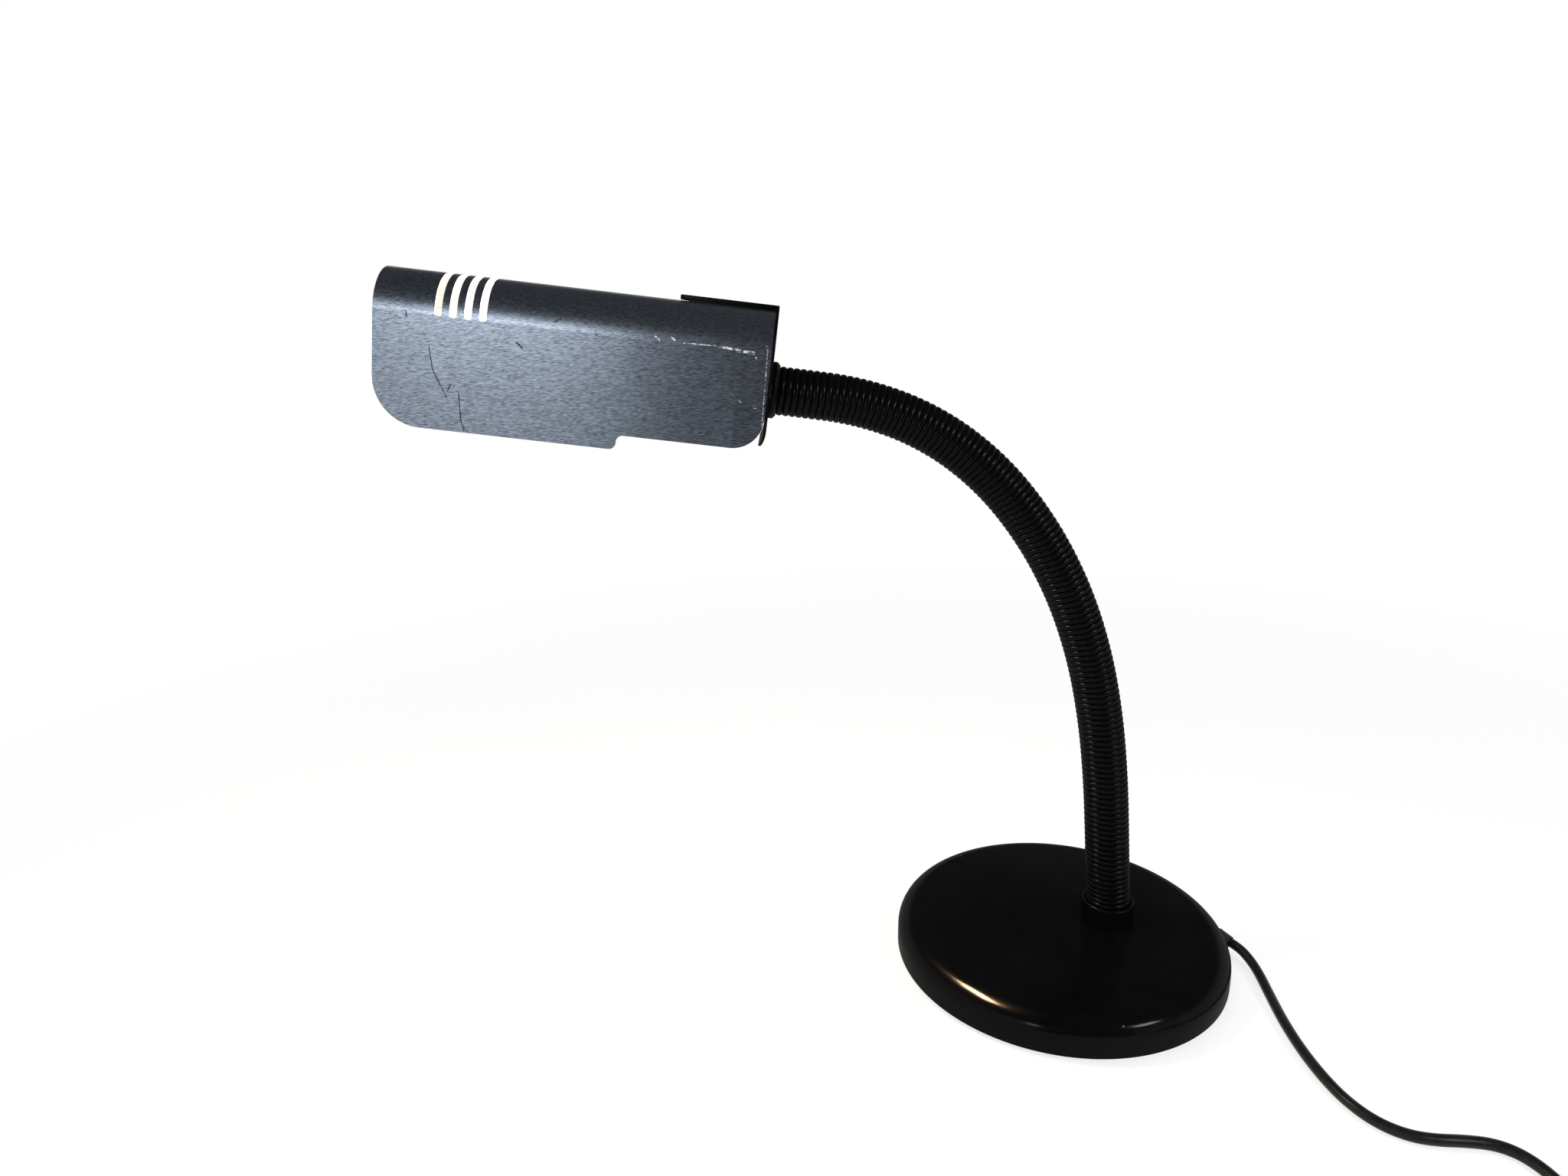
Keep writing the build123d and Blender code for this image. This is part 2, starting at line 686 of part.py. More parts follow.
@node("shade")
def shade():
    below = SIDE_BOTTOM_Z - FOLD_R
    outer = arch(HEAD_WIDTH, CROWN_Z, FOLD_R, below, 0)
    inner = arch(HEAD_WIDTH - 2 * SHEET_T, CROWN_Z - SHEET_T, FOLD_R - SHEET_T, below, 0)
    sheet = across(outer - inner, END_PLATE_T, HEAD_LENGTH)
    sheet &= extrude(Plane.XZ * side_outline(), HEAD_WIDTH, both=True)
    half = HEAD_WIDTH / 2
    for slot in range(SLOTS):
        x = SLOT_FIRST_X - slot * SLOT_PITCH
        low = SLOT_BOTTOM_Z + SLOT_W / 2
        cut = block((x - SLOT_W / 2, x + SLOT_W / 2), (-half, half), (low, CROWN_Z))
        cut += Pos(x, half, low) * (Rot(90, 0, 0) * rod(HEAD_WIDTH, SLOT_W / 2))
        sheet -= cut
    sheet -= switch_hole(CROWN_HOLE_GAP)
    for side in (-1, 1):
        y = sorted((side * (half - TAB_REACH), side * (half - SHEET_T / 2)))
        sheet += block((TAB_X, TAB_X + SHEET_T), y, TAB_Z)
    for hole in at_tabs(tab_screw(TAB_SCREW_GAP)):
        sheet -= hole
    return HEAD * sheet


# ---- lamp holder and bulb ---------------------------------------------------------------
@node("lamp_holder")
def lamp_holder():
    outline = (
        (0, HOLDER_START),
        (HOLDER_NECK_R, HOLDER_START),
        (HOLDER_NECK_R, HOLDER_START + HOLDER_NECK_L),
        (HOLDER_R, HOLDER_START + HOLDER_NECK_L + HOLDER_SHOULDER),
        (HOLDER_R, HOLDER_END - HOLDER_CHAMFER),
        (HOLDER_R - HOLDER_CHAMFER, HOLDER_END),
        (0, HOLDER_END),
    )
    holder = turned(outline)
    holder -= rod(HOLDER_END, HOLDER_BORE_R, BULB_START - CONTACT_L)
    holder -= rod(HEAD_STEM_END + STEM_GAP, HEAD_STEM_R + NUT_GAP)
    holder -= rod(BULB_START - SHELL_SETBACK, LEAD_HOLE_R)
    return HEAD * along_x(holder)


@node("holder_shell")
def holder_shell():
    """The threaded brass sleeve that takes the bulb's cap."""
    start = BULB_START - CONTACT_L
    length = HOLDER_END - SHELL_SETBACK - start
    return HEAD * along_x(tube(length, HOLDER_BORE_R, CAP_R + SHELL_GAP, start))


@node("holder_ring")
def holder_ring():
    """The screwed ring round the holder's mouth."""
    return HEAD * along_x(tube(RING_L, HOLDER_R + RING_T, HOLDER_R, HOLDER_END - RING_SETBACK))


@node("centre_contact")
def centre_contact():
    """The spring tongue that touches the bulb's tip."""
    return HEAD * along_x(rod(CONTACT_L, CONTACT_R, BULB_START - CONTACT_L))


@node("bulb_cap")
def bulb_cap():
    outline = (
        (0, BULB_START),
        (CAP_TIP_R, BULB_START),
        (CAP_R, BULB_START + CAP_TIP_L),
        (CAP_R, CAP_END),
        (0, CAP_END),
    )
    return HEAD * along_x(turned(outline))


def bulb_form(inset):
    """A ball and its tapered throat, or the space inside them."""
    start = CAP_END - (1 if inset else 0)
    centre = BULB_TIP - BULB_R
    join = BULB_R * math.cos(math.radians(BULB_JOIN))
    join_r = BULB_R * math.sin(math.radians(BULB_JOIN))
    scale = (BULB_R - inset) / BULB_R
    length = centre - join * scale - start
    low = (Align.CENTER, Align.CENTER, Align.MIN)
    throat = Cone(CAP_R - inset, join_r * scale, length, align=low)
    return Pos(0, 0, centre) * Sphere(BULB_R - inset) + Pos(0, 0, start) * throat


@node("bulb_glass")
def bulb_glass():
    """The envelope, open where its throat meets the cap."""
    return HEAD * along_x(bulb_form(0) - bulb_form(BULB_WALL))


# ---- switch -----------------------------------------------------------------------------
@node("switch_body")
def switch_body():
    x = (SWITCH_X - SWITCH_L / 2, SWITCH_X + SWITCH_L / 2)
    y = (-SWITCH_W / 2, SWITCH_W / 2)
    bottom = TONGUE_TOP_Z - SWITCH_DEPTH
    body = block(x, y, (bottom, TONGUE_TOP_Z)) + bezel()
    half_l, half_w = ROCKER_L / 2 + WELL_GAP_X, ROCKER_W / 2 + WELL_GAP_Y
    well_x = (SWITCH_X - half_l, SWITCH_X + half_l)
    body -= block(well_x, (-half_w, half_w), (bottom + SWITCH_FLOOR, TONGUE_TOP_Z))
    reach = SWITCH_W / 2 - PIN_WALL
    pivot = Pos(SWITCH_X, reach, ROCKER_PIVOT_Z)
    body -= pivot * (Rot(90, 0, 0) * rod(2 * reach, PIN_R + PIN_GAP))
    return HEAD * body


@node("switch_rocker")
def switch_rocker():
    """A rocker with a dished top on two short pins, resting on its on side."""
    half = ROCKER_L / 2
    rise = ROCKER_TOP_Z - ROCKER_PIVOT_Z
    right = [(half, rise), (half - ROCKER_TAPER, rise - ROCKER_SIDE)]
    left = [(-x, z) for x, z in reversed(right)]
    under = Polyline(*right, (0, rise - ROCKER_DEPTH), *left)
    dish = ThreePointArc((-half, rise), (0, rise - ROCKER_DISH), (half, rise))
    key = extrude(Plane.XZ * make_face(under + dish), ROCKER_W / 2, both=True)
    reach = SWITCH_W / 2 - PIN_WALL - PIN_GAP
    key += Pos(0, reach, 0) * (Rot(90, 0, 0) * rod(2 * reach, PIN_R))
    return HEAD * (Pos(SWITCH_X, 0, ROCKER_PIVOT_Z) * (Rot(0, ROCKER_TILT, 0) * key))


@node("switch_terminals")
def switch_terminals():
    bottom = TONGUE_TOP_Z - SWITCH_DEPTH
    tag = block((-TAG_T / 2, TAG_T / 2), (-TAG_W / 2, TAG_W / 2), (bottom - TAG_L, bottom))
    places = (SWITCH_X - TAG_X, SWITCH_X + TAG_X)
    return Compound(children=[HEAD * (Pos(x, 0, 0) * tag) for x in places])


@node("shade_screws")
def shade_screws():
    return Compound(children=[HEAD * s for s in at_tabs(tab_screw())])


@node("shade_nuts")
def shade_nuts():
    nut = hex_nut(TAB_NUT_ACROSS, TAB_NUT_T, TAB_SCREW_R + NUT_GAP, TAB_X + SHEET_T)
    return Compound(children=[HEAD * s for s in at_tabs(nut)])


# ---- lead through the neck --------------------------------------------------------------
LEAD_R = 2.0
LEAD_Z = 5.8
LEAD_FOOT_BEND = 5.0
LEAD_NECK_BEND = 60.0
LEAD_END_X = HOLDER_START + 8.0


@node("inner_lead")
def inner_lead():
    """The two-core lead from the terminals through every ball to the lamp holder."""
    a = math.radians(HEAD_HEADING)
    points = [(TERMINAL_X[0], 0, LEAD_Z), (NECK_X, 0, LEAD_Z)]
    points += [(x, 0, z) for x, z in PIVOTS[:-1]]
    reach = BALL_SHOULDER + FLANGE_T + LEAD_END_X
    x, z = PIVOTS[-1]
    points.append((x + reach * math.cos(a), 0, z + reach * math.sin(a)))
    radii = [LEAD_FOOT_BEND] + [LEAD_NECK_BEND] * (len(points) - 3)
    path = FilletPolyline(*points, radius=radii)
    start = Plane(origin=points[0], z_dir=(-1, 0, 0))
    return sweep(start * Circle(LEAD_R), path)


# ---- mains cord, coil and plug ----------------------------------------------------------
def nozzle_dir():
    """The way that the cord leaves the base: round towards -Y, and a little down."""
    a = math.radians(GLAND_TURN)
    return Vector(math.cos(a), math.sin(a), -0.08).normalized()


KNUCKLE = Vector(KNUCKLE_X, CORD_Y, CORD_Z)
NOZZLE_TIP = KNUCKLE + nozzle_dir() * NOZZLE_L


@node("cord_gland")
def cord_gland():
    """The moulded strain relief: a sleeve and a flange inside the wall, a knuckle in it and a
    short tapered nozzle that droops with the cord."""
    axis = Pos(GLAND_SEAT_X, CORD_Y, CORD_Z)
    sleeve = axis * along_x(rod(GLAND_SLEEVE, GLAND_SLEEVE_R, -GLAND_SLEEVE))
    flange = axis * along_x(rod(GLAND_FLANGE_T, GLAND_R + GLAND_LIP, -GLAND_FLANGE_T))
    body = axis * along_x(rod(KNUCKLE_X - GLAND_SEAT_X, GLAND_R))
    knuckle = Pos(*KNUCKLE) * Sphere(GLAND_R)
    low = (Align.CENTER, Align.CENTER, Align.MIN)
    nozzle = Cone(GLAND_R, NOZZLE_TIP_R, NOZZLE_L, align=low)
    nozzle = Plane(origin=KNUCKLE, z_dir=nozzle_dir()).location * nozzle
    return sleeve + flange + body + knuckle + nozzle


@node("cord_tail")
def cord_tail():
    """The cord inside the base, from the gland through its clamp to the terminals."""
    end = GLAND_SEAT_X - GLAND_SLEEVE
    return Pos(TERMINAL_X[1], CORD_Y, CORD_Z) * along_x(rod(end - TERMINAL_X[1], CORD_R))


def round_radii(points):
    """The largest arcs that the runs on both sides of each corner allow."""
    radii = []
    for before, here, after in zip(points, points[1:], points[2:]):
        run_in, run_out = here - before, after - here
        turn = math.radians(run_in.get_angle(run_out))
        shorter = min(run_in.length, run_out.length)
        radii.append(0.45 * shorter / math.tan(turn / 2))
    return radii


@node("mains_cord")
def mains_cord():
    """The cord along the table, from the nozzle to the coil."""
    points = [NOZZLE_TIP, NOZZLE_TIP + nozzle_dir() * FIRST_RUN]
    points += [Vector(*p) for p in CORD_ROUTE]
    points.append(Vector(COIL_X - COIL_TURN_R - CORD_D, COIL_ENTRY_Y, LAID_Z))
    path = FilletPolyline(*points, radius=round_radii(points))
    start = Plane(origin=points[0], z_dir=points[1] - points[0])
    return sweep(start * Circle(CORD_R), path)


def coil_exit():
    """Where the cord leaves the coil for its plug, and which way it points."""
    a = math.radians(COIL_EXIT_ANGLE)
    turn_r = COIL_TURN_R + CORD_D
    point = Vector(COIL_X + turn_r * math.cos(a), COIL_Y + turn_r * math.sin(a), PLUG_Z)
    return point, Vector(-math.sin(a), math.cos(a), 0)


@node("cord_coil")
def cord_coil():
    """The outer shape of nine turns, three across and three high, with both their tails."""
    section = Pos(COIL_TURN_R, COIL_HALF) * RectangleRounded(
        2 * COIL_HALF, 2 * COIL_HALF, COIL_ROUND
    )
    ring = Pos(COIL_X, COIL_Y, 0) * revolve(Plane.XZ * section, Axis.Z)
    entry = (COIL_X - COIL_TURN_R - CORD_D, COIL_ENTRY_Y, LAID_Z)
    lead_in = Plane(origin=entry, z_dir=(0, -1, 0)) * Circle(CORD_R)
    ring += extrude(lead_in, COIL_ENTRY_Y - COIL_Y)
    point, way = coil_exit()
    ring += extrude(Plane(origin=point, z_dir=way) * Circle(CORD_R), PLUG_LEAD)
    return ring


@node("cord_tie")
def cord_tie():
    """A band round the bundle of turns."""
    half = COIL_HALF + TIE_GAP
    inside = RectangleRounded(2 * half, 2 * half, COIL_ROUND)
    full = 2 * (half + TIE_T)
    outside = RectangleRounded(full, full, COIL_ROUND + TIE_T)
    lift = Pos(COIL_TURN_R, COIL_HALF)
    loop = revolve(Plane.XZ * (lift * (outside - inside)), Axis.Z, TIE_SPAN)
    reach = COIL_TURN_R + full
    loop -= block((-reach, reach), (-reach, reach), (-full, 0))
    return Pos(COIL_X, COIL_Y, 0) * (Rot(0, 0, TIE_ANGLE) * loop)


def plug_plane():
    """The plug's frame: z from its cord towards its pins."""
    point, way = coil_exit()
    return Plane(origin=point + way * PLUG_LEAD, x_dir=(0, 0, 1), z_dir=way)


@node("plug_body")
def plug_body():
    """A flat two-pin plug with a tapered tail."""
    thick = 2 * PLUG_Z
    mouth = Circle(CORD_R + PLUG_TAIL_WALL)
    throat = RectangleRounded(thick - 1, PLUG_THROAT_W, PLUG_CORNER_R)
    grip = RectangleRounded(thick, PLUG_W, PLUG_CORNER_R)
    tail = loft([mouth, Pos(0, 0, PLUG_TAIL_L) * Circle(thick / 2 - 0.5)])
    sections = ((PLUG_GRIP_START, throat), (PLUG_GRIP_FULL, grip), (PLUG_L, grip))
    face = loft([Pos(0, 0, z) * section for z, section in sections], ruled=True)
    return plug_plane().location * (tail + face)


@node("plug_pins")
def plug_pins():
    pin = rod(PLUG_PIN_L, PLUG_PIN_R, PLUG_L)
    pin = fillet(pin.edges().group_by(Axis.Z)[-1], PLUG_PIN_ROUND)
    places = (-PLUG_PIN_Y, PLUG_PIN_Y)
    return Compound(children=[plug_plane().location * (Pos(0, y, 0) * pin) for y in places])


def main():
    """Write each sub-part to its own STEP file."""
    os.makedirs("parts", exist_ok=True)
    for name, make in NODES.items():
        export_step(make(), f"parts/{name}.step")
    print(len(NODES), "sub-parts")


main()
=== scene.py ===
"""Dresses a gooseneck desk lamp: its black moulded base, ribbed neck, brushed slotted shade, lit
bulb, switch, mains cord and plug, and the studio that it stands in.

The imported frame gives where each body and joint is. Lengths are in metres. Sizes that come from
the lamp's drawing are written in millimetres and multiplied by MM.
"""

import json
import math

import bmesh
import bpy
from mathutils import Matrix, Vector

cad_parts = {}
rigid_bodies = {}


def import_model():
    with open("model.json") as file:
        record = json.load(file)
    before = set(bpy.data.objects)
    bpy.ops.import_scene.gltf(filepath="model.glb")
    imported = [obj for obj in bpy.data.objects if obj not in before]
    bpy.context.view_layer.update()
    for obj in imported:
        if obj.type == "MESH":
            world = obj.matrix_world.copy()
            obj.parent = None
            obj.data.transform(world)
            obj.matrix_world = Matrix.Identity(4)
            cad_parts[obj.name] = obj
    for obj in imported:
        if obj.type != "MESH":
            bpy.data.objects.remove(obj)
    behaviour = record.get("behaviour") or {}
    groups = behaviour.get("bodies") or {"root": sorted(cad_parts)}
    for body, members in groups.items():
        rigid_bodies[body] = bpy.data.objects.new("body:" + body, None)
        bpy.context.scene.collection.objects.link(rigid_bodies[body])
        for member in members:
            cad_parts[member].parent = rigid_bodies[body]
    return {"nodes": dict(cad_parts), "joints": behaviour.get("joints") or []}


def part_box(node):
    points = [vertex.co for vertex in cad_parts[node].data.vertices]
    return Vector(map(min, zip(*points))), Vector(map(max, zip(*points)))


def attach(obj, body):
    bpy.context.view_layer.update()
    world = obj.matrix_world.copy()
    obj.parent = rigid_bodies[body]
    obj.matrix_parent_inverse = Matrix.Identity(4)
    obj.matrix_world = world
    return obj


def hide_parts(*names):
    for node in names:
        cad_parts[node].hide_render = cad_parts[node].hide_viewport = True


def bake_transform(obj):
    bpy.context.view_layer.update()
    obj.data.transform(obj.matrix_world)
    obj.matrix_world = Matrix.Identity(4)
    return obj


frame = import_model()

bl_info = {
    "name": "Gooseneck Desk Lamp",
    "version": (1, 0, 0),
    "blender": (4, 5, 0),
    "location": "View3D > Sidebar > Desk Lamp",
    "description": "Models and finishes a gooseneck desk lamp around its packed frame",
    "category": "Add Mesh",
}

MM = 0.001
WELD = MM / 1000  # vertices nearer than this to each other are one
CUT = MM / 2000  # vertices nearer than this to a cut lie on it
SHARP = math.radians(60)  # edges that turn further than this are rounded
IN_PLANE = 0.01  # a way whose Y is smaller than this lies in the lamp's plane of symmetry
BESIDE_HOLE = 1.001  # of a hole's radius: what lies further out isn't its rim
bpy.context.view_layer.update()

# ---- where things are, from the frame ---------------------------------------------------
NECK_JOINTS = [j for j in frame["joints"] if j["name"].startswith("neck_")]
PIVOTS = [Vector(j["pos_m"]) for j in NECK_JOINTS]
SWITCH_PIVOT = next(Vector(j["pos_m"]) for j in frame["joints"] if j["name"] == "switch_rock")
COVER_LOW, COVER_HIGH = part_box("base_cover")
COLLAR_LOW, COLLAR_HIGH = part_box("neck_collar")

BASE_R = COVER_HIGH.y
BASE_TOP = COVER_HIGH.z
FOOT_H = COVER_LOW.z
COLLAR_TOP = COLLAR_HIGH.z
COLLAR_R = COLLAR_HIGH.y
NECK_X = PIVOTS[0].x

# ---- the base ---------------------------------------------------------------------------
COVER_WALL = 2.5 * MM
COVER_ROUND = 9.6 * MM
COVER_SIDES = 160
TURNED_SIDES = 72
LIP_ROUND = 0.8 * MM
COLLAR_BEVEL = 0.9 * MM
COLLAR_FOOT = (0.3 * MM, 0.4 * MM)
COLLAR_STEM_R = 6.0 * MM
# the collar's seat for the neck and the funnel below it; depths are under the collar's top
NECK_START = 1.0 * MM
SEAT_DEPTH = 1.2 * MM
SEAT_GAP = 0.25 * MM
SEAT_ROUND = 0.5 * MM
SEAT_LAP = 1.0 * MM
FUNNEL_DEPTHS = (8.0 * MM, 6.0 * MM)

# ---- the neck ---------------------------------------------------------------------------
NECK_SIDES = 56
RIB_STEPS = 8
RIB_SHAPE = 0.5  # power of the sine that a rib follows: a smaller one gives flatter crests
BORE_STEPS = 4
BORE_R = 4.0 * MM
LEAD_STEPS = 10
LEAD_SIDES = 20
LEAD_R = 2.0 * MM
LEAD_Z = 5.8 * MM
LEAD_BEND = 5.0 * MM
LEAD_BEND_STEPS = 8
TERMINAL_X = 47.0 * MM
LEAD_END_X = 16.0 * MM
# Joints whose stretch of the neck is taken from its upper end down. Taken from its lower end up,
# the frame's blend loses their turning point to rounding when every joint is at its limit.
BENT_FROM_ABOVE = ("neck_upper_bend_1", "neck_upper_bend_5")

# ---- the head: x from the rear plate to the free end, z up, from the neck's line --------
BALL_TO_PLATE = 7.5 * MM
SWITCH_X = 25.0 * MM
SWITCH_Z = 34.6 * MM
FLANGE_R = 13.2 * MM
FLANGE_T = 3.4 * MM
FLANGE_CHAMFER = 1.5 * MM
FLANGE_ROUND = 0.5 * MM
HEAD_STEM_R = 5.0 * MM
HEAD_STEM_END = 16.0 * MM
HEAD_STEM_ROUND = 0.4 * MM
HEAD_LENGTH = 175.0 * MM
HEAD_WIDTH = 64.0 * MM
CROWN_Z = 35.8 * MM
SIDE_BOTTOM_Z = -32.0 * MM
STEP_BOTTOM_Z = -25.4 * MM
STEP_X = 66.5 * MM
STEP_ROUND = 3.2 * MM
SHEET_EDGE = 0.18 * MM
SHEET_EDGE_TURN = math.radians(50)
TAB_X = 9.6 * MM
TAB_L = 9.0 * MM
TAB_W = 14.0 * MM
TAB_Z = 1.0 * MM
TAB_CORNER_R = 1.0 * MM
TAB_EDGE = 0.15 * MM
FOLD_R = 19.0 * MM
FOLD_STEPS = 16
BLANK_MAP = "blank"  # the flat blank's coordinates, kept as the sheet is folded
FREE_CORNER_R = 21.0 * MM
REAR_CORNER_R = 14.2 * MM
SLOTS = 4
SLOT_FIRST_X = 146.7 * MM
SLOT_PITCH = 6.45 * MM
SLOT_W = 3.1 * MM
SLOT_BOTTOM_Z = 16.9 * MM
SLOT_CORNER = 1.2 * MM
SWITCH_HOLE_GAP = 0.6 * MM
END_PLATE_T = 1.4 * MM
END_PLATE_EDGE = 0.3 * MM
END_CORNER_R = 8.0 * MM
END_BOTTOM_Z = -23.9 * MM
CURL_Z = -16.5 * MM  # below this the rear plate curls forward
CURL_REACH = 1.8 * MM
CURL_STEPS = 6
ARCH_STEPS = 12
LAP = 0.3 * MM  # how far parts of one moulding reach into each other
SPIGOT_DEPTH = 8.0 * MM
SPIGOT_T = 1.6 * MM
SPIGOT_GAP = 0.1 * MM
SPIGOT_BOTTOM_Z = -8.5 * MM
SCREW_Y = 26.0 * MM
SCREW_Z = 1.0 * MM
SCREW_HEAD_R = 2.8 * MM
SCREW_HEAD_T = 0.9 * MM
SCREW_RISE = 0.7 * MM
SCREW_SHANK_R = 1.5 * MM
SCREW_TIP = 0.5 * MM
SCREW_SIDES = 48
SHANK_SIDES = 32
SCREW_CONE_W = 0.9 * MM
SCREW_CONE_START = 0.6 * MM
SCREW_CONE_END = 1.3 * MM
SCREW_L = 16.0 * MM
SCREW_CROSS = (1.7 * MM, 0.36 * MM)  # half of the cross slot's length and width
TONGUE_LENGTH = 45.0 * MM
TONGUE_HALF_W = 14.0 * MM
TONGUE_TOP_Z = 38.4 * MM
TONGUE_CORNER_R = 3.0 * MM
TONGUE_REAR_R = 0.6 * MM
TONGUE_SEAT_R = 0.4 * MM
TONGUE_SEAT_GAP = 0.02 * MM  # how far the seat and the foot stay inside the band's sides
TONGUE_UNDERCUT = 0.3 * MM
TONGUE_UNDERCUT_L = 4.0 * MM
TONGUE_EDGE = 0.45 * MM
SWITCH_L = 19.0 * MM
SWITCH_W = 12.0 * MM
SWITCH_DEPTH = 12.5 * MM
BEZEL_W = 1.2 * MM
BEZEL_T = 0.6 * MM
BEZEL_CORNER_R = 1.0 * MM
SWITCH_CORNER_R = 0.5 * MM
SWITCH_EDGE = 0.12 * MM
WELL_GAP_X = 0.6 * MM
WELL_GAP_Y = 0.3 * MM
SWITCH_FLOOR = 5.0 * MM
ROCKER_L = 14.6 * MM
ROCKER_W = 8.0 * MM
ROCKER_RISE = 3.0 * MM
ROCKER_DISH = 0.8 * MM
ROCKER_EDGE = 0.35 * MM
ROCKER_DEPTH = 4.6 * MM
ROCKER_END_DEPTH = 3.2 * MM
ROCKER_END_TAPER = 1.2 * MM
ROCKER_STEPS = 12
ROCKER_TILT = math.radians(7.0)
HOLDER_START = 8.0 * MM
HOLDER_END = 58.0 * MM
HOLDER_R = 14.0 * MM
HOLDER_SIDES = 64
HOLDER_THROAT_R = 9.3 * MM
HOLDER_THROAT_DEPTH = 4.0 * MM
HOLDER_STEM_GAP = 0.1 * MM
HOLDER_FOOT_R = 10.0 * MM
HOLDER_FOOT_L = 8.0 * MM
HOLDER_FOOT_ROUND = 0.8 * MM
HOLDER_SHOULDER_L = 11.0 * MM
HOLDER_SHOULDER_R = 2.0 * MM
HOLDER_END_ROUND = 1.0 * MM
HOLDER_GROOVES = 3
HOLDER_GROOVE_START = 16.0 * MM
HOLDER_GROOVE_PITCH = 4.0 * MM
HOLDER_GROOVE_W = 1.3 * MM
HOLDER_GROOVE_DEPTH = 0.5 * MM
RING_START = 46.0 * MM
RING_L = 5.0 * MM
RING_R = 17.0 * MM
RING_FLUTES = 24
RING_FLUTE = 0.7 * MM
RING_EDGE = 0.4 * MM
BULB_START = 34.0 * MM
BULB_CAP_END = 59.0 * MM
BULB_CAP_R = 6.9 * MM
BULB_R = 22.5 * MM
BULB_TIP = 112.0 * MM
BULB_FLARE = 0.6 * MM
BULB_THROAT = (-3.0 * MM, -1.0 * MM, 2.0 * MM)  # from the cap's end
BULB_NECK_TURN = -56.0  # degrees: where the ball begins

# ---- the cord ---------------------------------------------------------------------------
KNUCKLE = Vector((88.6, -2.0, 8.0)) * MM
GLAND_ENDS = (77.2 * MM, 84.0 * MM, 84.1 * MM)
GLAND_STEP = 0.6 * MM
KNUCKLE_SWING = 1.2 * MM
GLAND_TURN = math.radians(-55.0)
GLAND_DROP = -0.08
NOZZLE_L = 6.0 * MM
GLAND_R = 4.3 * MM
NOZZLE_TIP_R = 3.1 * MM
NOZZLE_EDGE = 0.5 * MM
NOZZLE_STEPS = 6
KNUCKLE_STEPS = 8
GLAND_SIDES = 40
FIRST_RUN = 5.0 * MM
CORD_LIFT = 0.1 * MM
CORD_ROUTE = (
    (97.4, -18.0, 5.4), (98.3, -28.0, 3.6), (96.2, -45.0, 2.7), (93.7, -64.0, 2.6),
    (92.6, -83.0, 2.6), (93.4, -101.0, 2.6), (96.2, -116.0, 2.6), (102.2, -128.0, 2.6),
    (111.5, -135.4, 2.6), (122.0, -138.0, 2.6), (133.0, -138.6, 2.6), (144.0, -140.4, 2.6),
    (151.4, -145.4, 2.6), (155.6, -153.6, 2.6), (157.1, -164.0, 2.6), (157.5, -176.0, 2.6),
)
COIL_X = 192.5 * MM
COIL_Y = -212.0 * MM
COIL_TURN_R = 30.0 * MM
COIL_ENTRY_Y = -188.0 * MM
COIL_TURNS = 9
COIL_EXIT = math.radians(120.0)  # past the last whole turn
DRIFT_START = 0.8  # from this share of a turn on, the cord drifts to its next place
# the turns' places in the bundle, across and up, in cord diameters from its middle
COIL_CELLS = ((1, -1), (0, -1), (-1, -1), (-1, 0), (-1, 1), (0, 1), (0, 0), (1, 0), (1, 1))
TURN_POINTS = 16
PLUG_LEAD = 23.0 * MM
PLUG_LEAD_Z = (-14.0 * MM, -7.0 * MM, 1.0 * MM)
PLUG_OUT = 5.0 * MM
PLUG_Z = 7.0 * MM
PLUG_L = 35.0 * MM
# the plug's cross-sections in millimetres: from its cord, half its thickness, half its width
PLUG_START = ((0.0, 3.4, 3.4), (1.0, 3.9, 3.9))
# the first groove of the plug's tail, and how far each differs from the one before it
PLUG_GROOVE = ((2.0, 4.0, 4.0), (2.6, 3.5, 3.5), (3.4, 3.5, 3.5), (4.0, 4.2, 4.3))
PLUG_GROOVE_STEP = (2.6, 0.5, 0.5)
PLUG_GROOVES = 4
PLUG_GRIP = (
    (14.0, 6.3, 7.4), (17.0, 6.7, 9.6), (21.0, 7.0, 12.0), (24.0, 7.0, 12.5),
    (33.6, 7.0, 12.5), (34.6, 6.7, 12.2), (35.0, 6.1, 11.6),
)
PIN_R = 2.0 * MM
PIN_GAP = 9.3 * MM
PIN_SLEEVE = 10.0 * MM
PIN_SLEEVE_T = 0.12 * MM
PIN_SLEEVE_LAP = 1.0 * MM
PIN_SLEEVE_EDGE = 0.1 * MM
PIN_SIDES = 24
PLUG_ROUND = 0.72  # of the cross-section's half sizes


# ---- sizes and colours that a user may change -------------------------------------------
def length_setting(name, description, usual, least, most):
    """A size that a user may change, given in millimetres."""
    return bpy.props.FloatProperty(
        name=name, description=description, default=usual * MM, min=least * MM, max=most * MM,
        unit="LENGTH",
    )


def colour_setting(name, description, usual):
    """A colour that a user may change."""
    return bpy.props.FloatVectorProperty(
        name=name, description=description, default=usual, min=0.0, max=1.0, subtype="COLOR",
    )


class DeskLampSizes(bpy.types.PropertyGroup):
    """Sizes of the lamp's pieces that don't depend on its frame."""

    sheet: length_setting("Sheet", "Thickness of the shade's sheet metal", 1.0, 0.4, 2.0)
    rib_crest: length_setting("Rib crest", "Radius of the neck over its ribs", 11.42, 9.0, 13.0)
    rib_depth: length_setting("Rib depth", "Depth of the neck's grooves", 0.8, 0.2, 2.0)
    rib_pitch: length_setting("Rib pitch", "Distance from one rib to the next", 3.0, 1.5, 8.0)
    cord: length_setting("Cord", "Diameter of the mains cord", 5.0, 3.0, 8.0)


